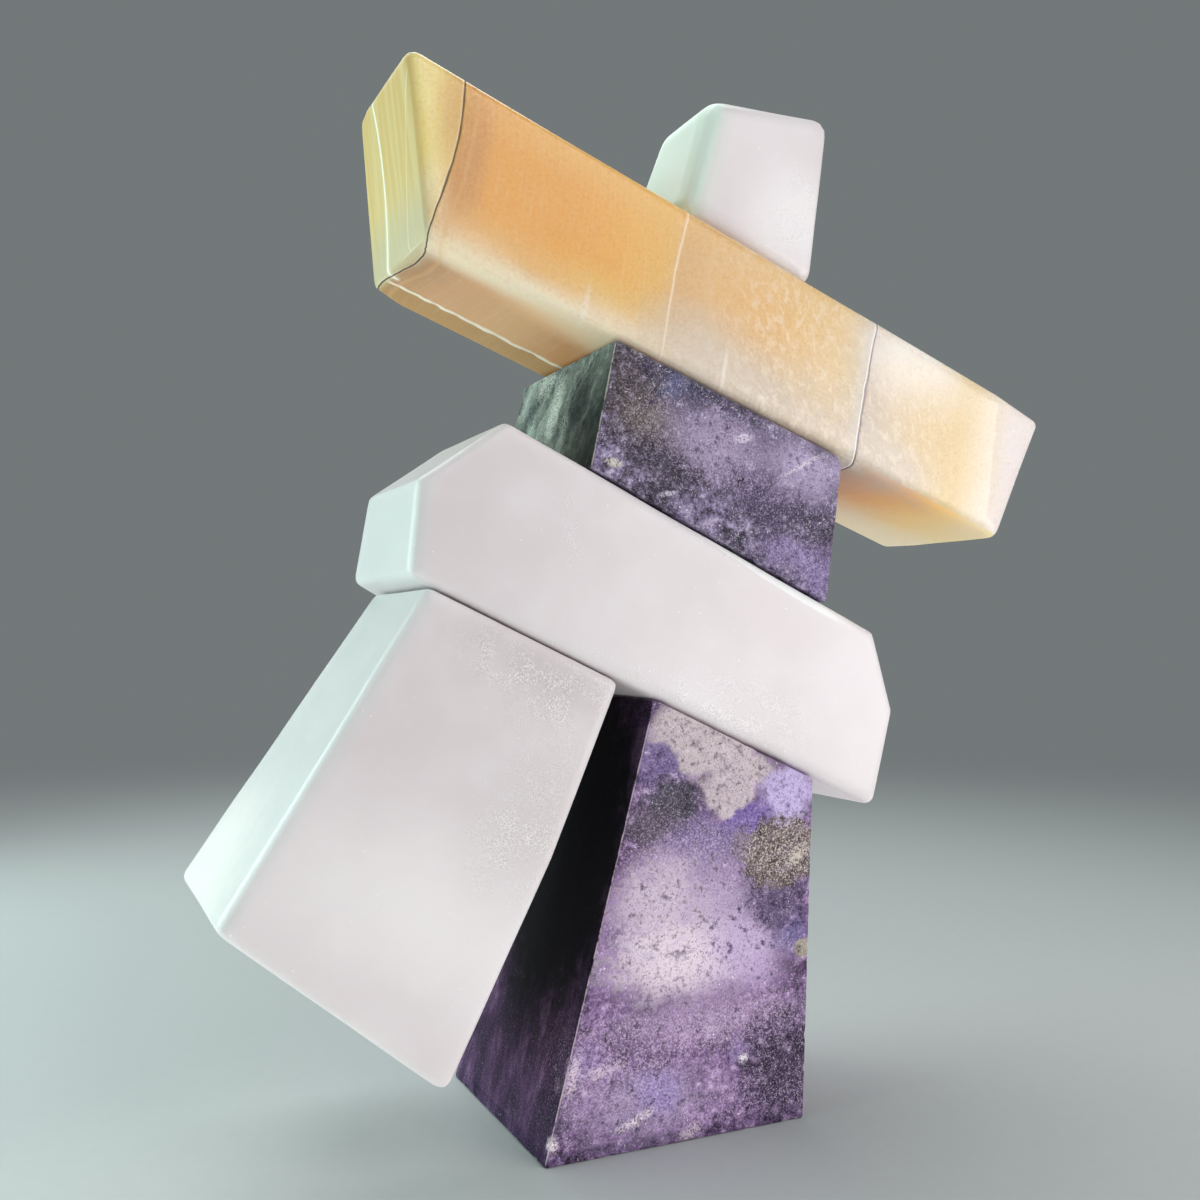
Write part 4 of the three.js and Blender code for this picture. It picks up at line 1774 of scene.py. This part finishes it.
@dataclass(kw_only=True)
class ArmBeam(Stone):
    """The upper beam, with three seams right round it and two lines of light on its left end."""

    node: str = "arm_beam"
    slot: Slot = Slot.BANDED
    finish: Calcite = Dressing.ARM_BEAM.value
    skin: Skin = field(default_factory=lambda: Skin(seed=4))
    flank_looks: Triple = (-1.0, 0.0, -0.1)
    groove: float = 0.22
    groove_width: float = 0.4
    facet_depth: float = 19.4
    facet_height: float = 55.0
    facet_cut: float = 0.5
    sheen: Curve = ((0, 47), (13, 42), (26, 38.5), (39, 40), (52, 43))
    ridge_depth: float = 53.0
    ridge_wave: float = 0.5
    marks: Triple = (29.45, 120.05, 212.05)
    left: Curve = ((0, 29.4), (14.8, 29.9), (30.7, 28.9), (45.5, 27.1), (58.2, 23.0))
    left_back: Curve = ((0, 0), (9.9, 3.6), (19.5, 4.5), (37.5, 3.1), (77, 4.5))
    vein: Curve = ((0, 124.8), (30.9, 119.0), (58.2, 116))
    vein_back: Curve = ((0, 0), (77, 6))
    right: Curve = ((0, 217), (29.1, 211.6), (58.2, 207.5))
    right_back: Curve = ((0, 0), (6.8, 1.8), (30, 2.5), (77, 5))

    def __post_init__(self) -> None:
        """Finds the beam's axes and its seams."""
        super().__post_init__()
        self.beam = BeamAxes(self.block, np.array(list(self.corners.values())))
        self.seams = {
            "seam_left": Seam(self.beam, self.left, self.left_back, 11),
            "seam_vein": Seam(self.beam, self.vein, self.vein_back, 12),
            "seam_right": Seam(self.beam, self.right, self.right_back, 13),
        }

    def grooves(self, points: np.ndarray) -> np.ndarray:
        """The distance from the nearer of the two grooved seams, in millimetres."""
        return np.minimum(*(np.abs(self.seams[name](points)) for name in ("seam_left", "seam_right")))

    def fine_area(self) -> FineArea:
        """The strips beside the two grooved seams."""
        return FineArea(self.grooves, 1.3, 0.36)

    def facet(self, points: np.ndarray) -> np.ndarray:
        """How far points are behind the curved edge of the left end's facet, in millimetres."""
        _, deep, rise = self.beam.of(points)
        height = np.clip(rise / self.facet_height, 0, 1)
        return deep - self.facet_depth * (1 - height**1.15)

    def extra_measures(self, points: np.ndarray) -> dict[str, np.ndarray]:
        """Places in the beam's own axes, and distances from the seams and lines.

        Args:
            points: Places in metres.

        Returns:
            The measures. The one along the beam leans and bends with the seams.
        """
        run, deep, rise = self.beam.of(points)
        offsets = {name: seam(points) for name, seam in self.seams.items()}
        leans = [offset + mark - run for offset, mark in zip(offsets.values(), self.marks)]
        weights = [np.interp(run, self.marks, row) for row in np.eye(3)]
        wave = 0.4 * ripple(points / MM, 7.0, 31) * eased(8 - rise, 0, 7.5)
        sheen = np.polynomial.Polynomial.fit(*zip(*self.sheen), 3)
        return {
            **offsets,
            "run": run + sum(weight * lean for weight, lean in zip(weights, leans)),
            "deep": deep,
            "rise": rise,
            "facet": self.facet(points),
            "sheen": deep - sheen(rise),
            "ridge": deep - self.ridge_depth + wave,
        }

    def extra_relief(self, points: np.ndarray, arris: np.ndarray) -> np.ndarray:
        """The seams' grooves, the left end's facet and the uneven ridge below.

        Args:
            points: Places.
            arris: Their distances from the nearest arris. Not used.

        Returns:
            The depths in millimetres.
        """
        relief = self.groove * np.exp(-((self.grooves(points) / self.groove_width) ** 2))
        _, deep, rise = self.beam.of(points)
        edge = np.maximum(deep - self.facet(points), 0.5)
        on_end = eased(1.2 - self.flank.under(points) / MM, 0, 1.0)
        relief += self.facet_cut * np.clip(1 - deep / edge, 0, 1) * on_end
        near_ridge = np.exp(-(((deep - self.ridge_depth) / 1.6) ** 2)) * eased(3 - rise, 0, 3)
        return relief + self.ridge_wave * near_ridge * eased(ripple(points / MM, 8.0, 32), -0.5, 1.5)


@dataclass
class Studio:
    """A plain pale floor, soft lights and the camera."""

    eye: Triple = (-0.2164, -0.444, 0.186)
    heading: float = 25.0
    lens: float = 36.6
    sensor: float = 36.0
    shift_up: float = 37 / 1200
    floor_radius: float = 4.0
    floor_full: float = 0.45
    floor_end: float = 1.7
    floor_tone: int = 0xB9BDBD
    floor_cloud: int = 0xBFC3C3
    sky_tone: int = 0xA9B1B2
    sky_strength: float = 0.43

    def build(self) -> None:
        """Builds the floor, the sky, the lights and the camera."""
        self._floor()
        self._sky()
        self._light("key", (0.56, -0.64, 0.2), (0.03, -0.05, 0.18), 0.5, 3.2, 0xFFFBFB)
        self._light("key_high", (0.2, -0.7, 0.8), (0.0, -0.05, 0.2), 0.6, 2.55, 0xFFFBFB)
        self._light("cool_side", (-0.75, 0.0, 0.3), (-0.05, 0.0, 0.2), 0.5, 2.0, 0xDFFFF7)
        self._light("cool_back", (-0.6, 0.5, 0.3), (0.0, 0.0, 0.25), 0.5, 2.25, 0xDFFFF7)
        self._light("top", (-0.1, 0.5, 1.25), (0.0, 0.0, 0.25), 1.3, 11.0, 0xFAFFFF)
        self._light("bounce", (-0.06, -0.12, 0.004), (-0.06, -0.12, 1.0), 0.9, 1.2, 0xFFF7F4)
        self._camera()

    def _floor(self) -> None:
        """A wide disc at the height that the figure stands on, which fades into the surround."""
        mesh = bmesh.new()
        bmesh.ops.create_circle(mesh, cap_ends=True, segments=96, radius=self.floor_radius)
        data = bpy.data.meshes.new("floor")
        mesh.to_mesh(data)
        mesh.free()
        floor = bpy.data.objects.new("floor", data)
        bpy.context.scene.collection.objects.link(floor)
        shader = Shader("pale_floor")
        place = shader.place()
        shade = shader.blend(shader.noise(place, 6, 4, 0.6), tint(self.floor_tone), tint(self.floor_cloud))
        fade = shader.rise(shader.length(place), self.floor_end / MM, self.floor_full / MM)
        data.materials.append(shader.close({"Base Color": shade, "Roughness": 0.75, "Alpha": fade}))

    def _sky(self) -> None:
        """An even pale surround."""
        world = bpy.data.worlds.new("surround")
        bpy.context.scene.world = world
        world.use_nodes = True
        sky = world.node_tree.nodes["Background"]
        sky.inputs["Color"].default_value = (*tint(self.sky_tone), 1.0)
        sky.inputs["Strength"].default_value = self.sky_strength

    def _light(self, name: str, place: Triple, aim: Triple, size: float, power: float, code: int) -> None:
        """A soft square light.

        Args:
            name: Its name.
            place: Where it is.
            aim: Where it shines.
            size: Its width.
            power: Its power in watts.
            code: Its colour code.
        """
        data = bpy.data.lights.new(name, "AREA")
        data.size = size
        data.energy = power
        data.color = tint(code)
        light = bpy.data.objects.new(name, data)
        light.location = place
        light.rotation_euler = (Vector(aim) - Vector(place)).to_track_quat("-Z", "Y").to_euler()
        light.visible_camera = False
        bpy.context.scene.collection.objects.link(light)

    def _camera(self) -> None:
        """The camera, level, low and a little to the left."""
        data = bpy.data.cameras.new("camera")
        data.lens = self.lens
        data.sensor_width = self.sensor
        data.shift_y = self.shift_up
        data.clip_start = 0.01
        camera = bpy.data.objects.new("camera", data)
        camera.location = self.eye
        camera.rotation_euler = (math.pi / 2, 0.0, -math.radians(self.heading))
        bpy.context.scene.collection.objects.link(camera)
        bpy.context.scene.camera = camera
        bpy.context.scene.view_settings.view_transform = "Standard"


def main() -> None:
    """Dresses the figure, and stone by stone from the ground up."""
    logging.basicConfig(level=logging.INFO, format="%(name)s: %(message)s")
    Studio().build()
    for stone in (StandingLeg(), RaisedLeg(), HipBeam(), Torso(), ArmBeam(), Head()):
        stone.build()


if __name__ == "__main__":
    main()
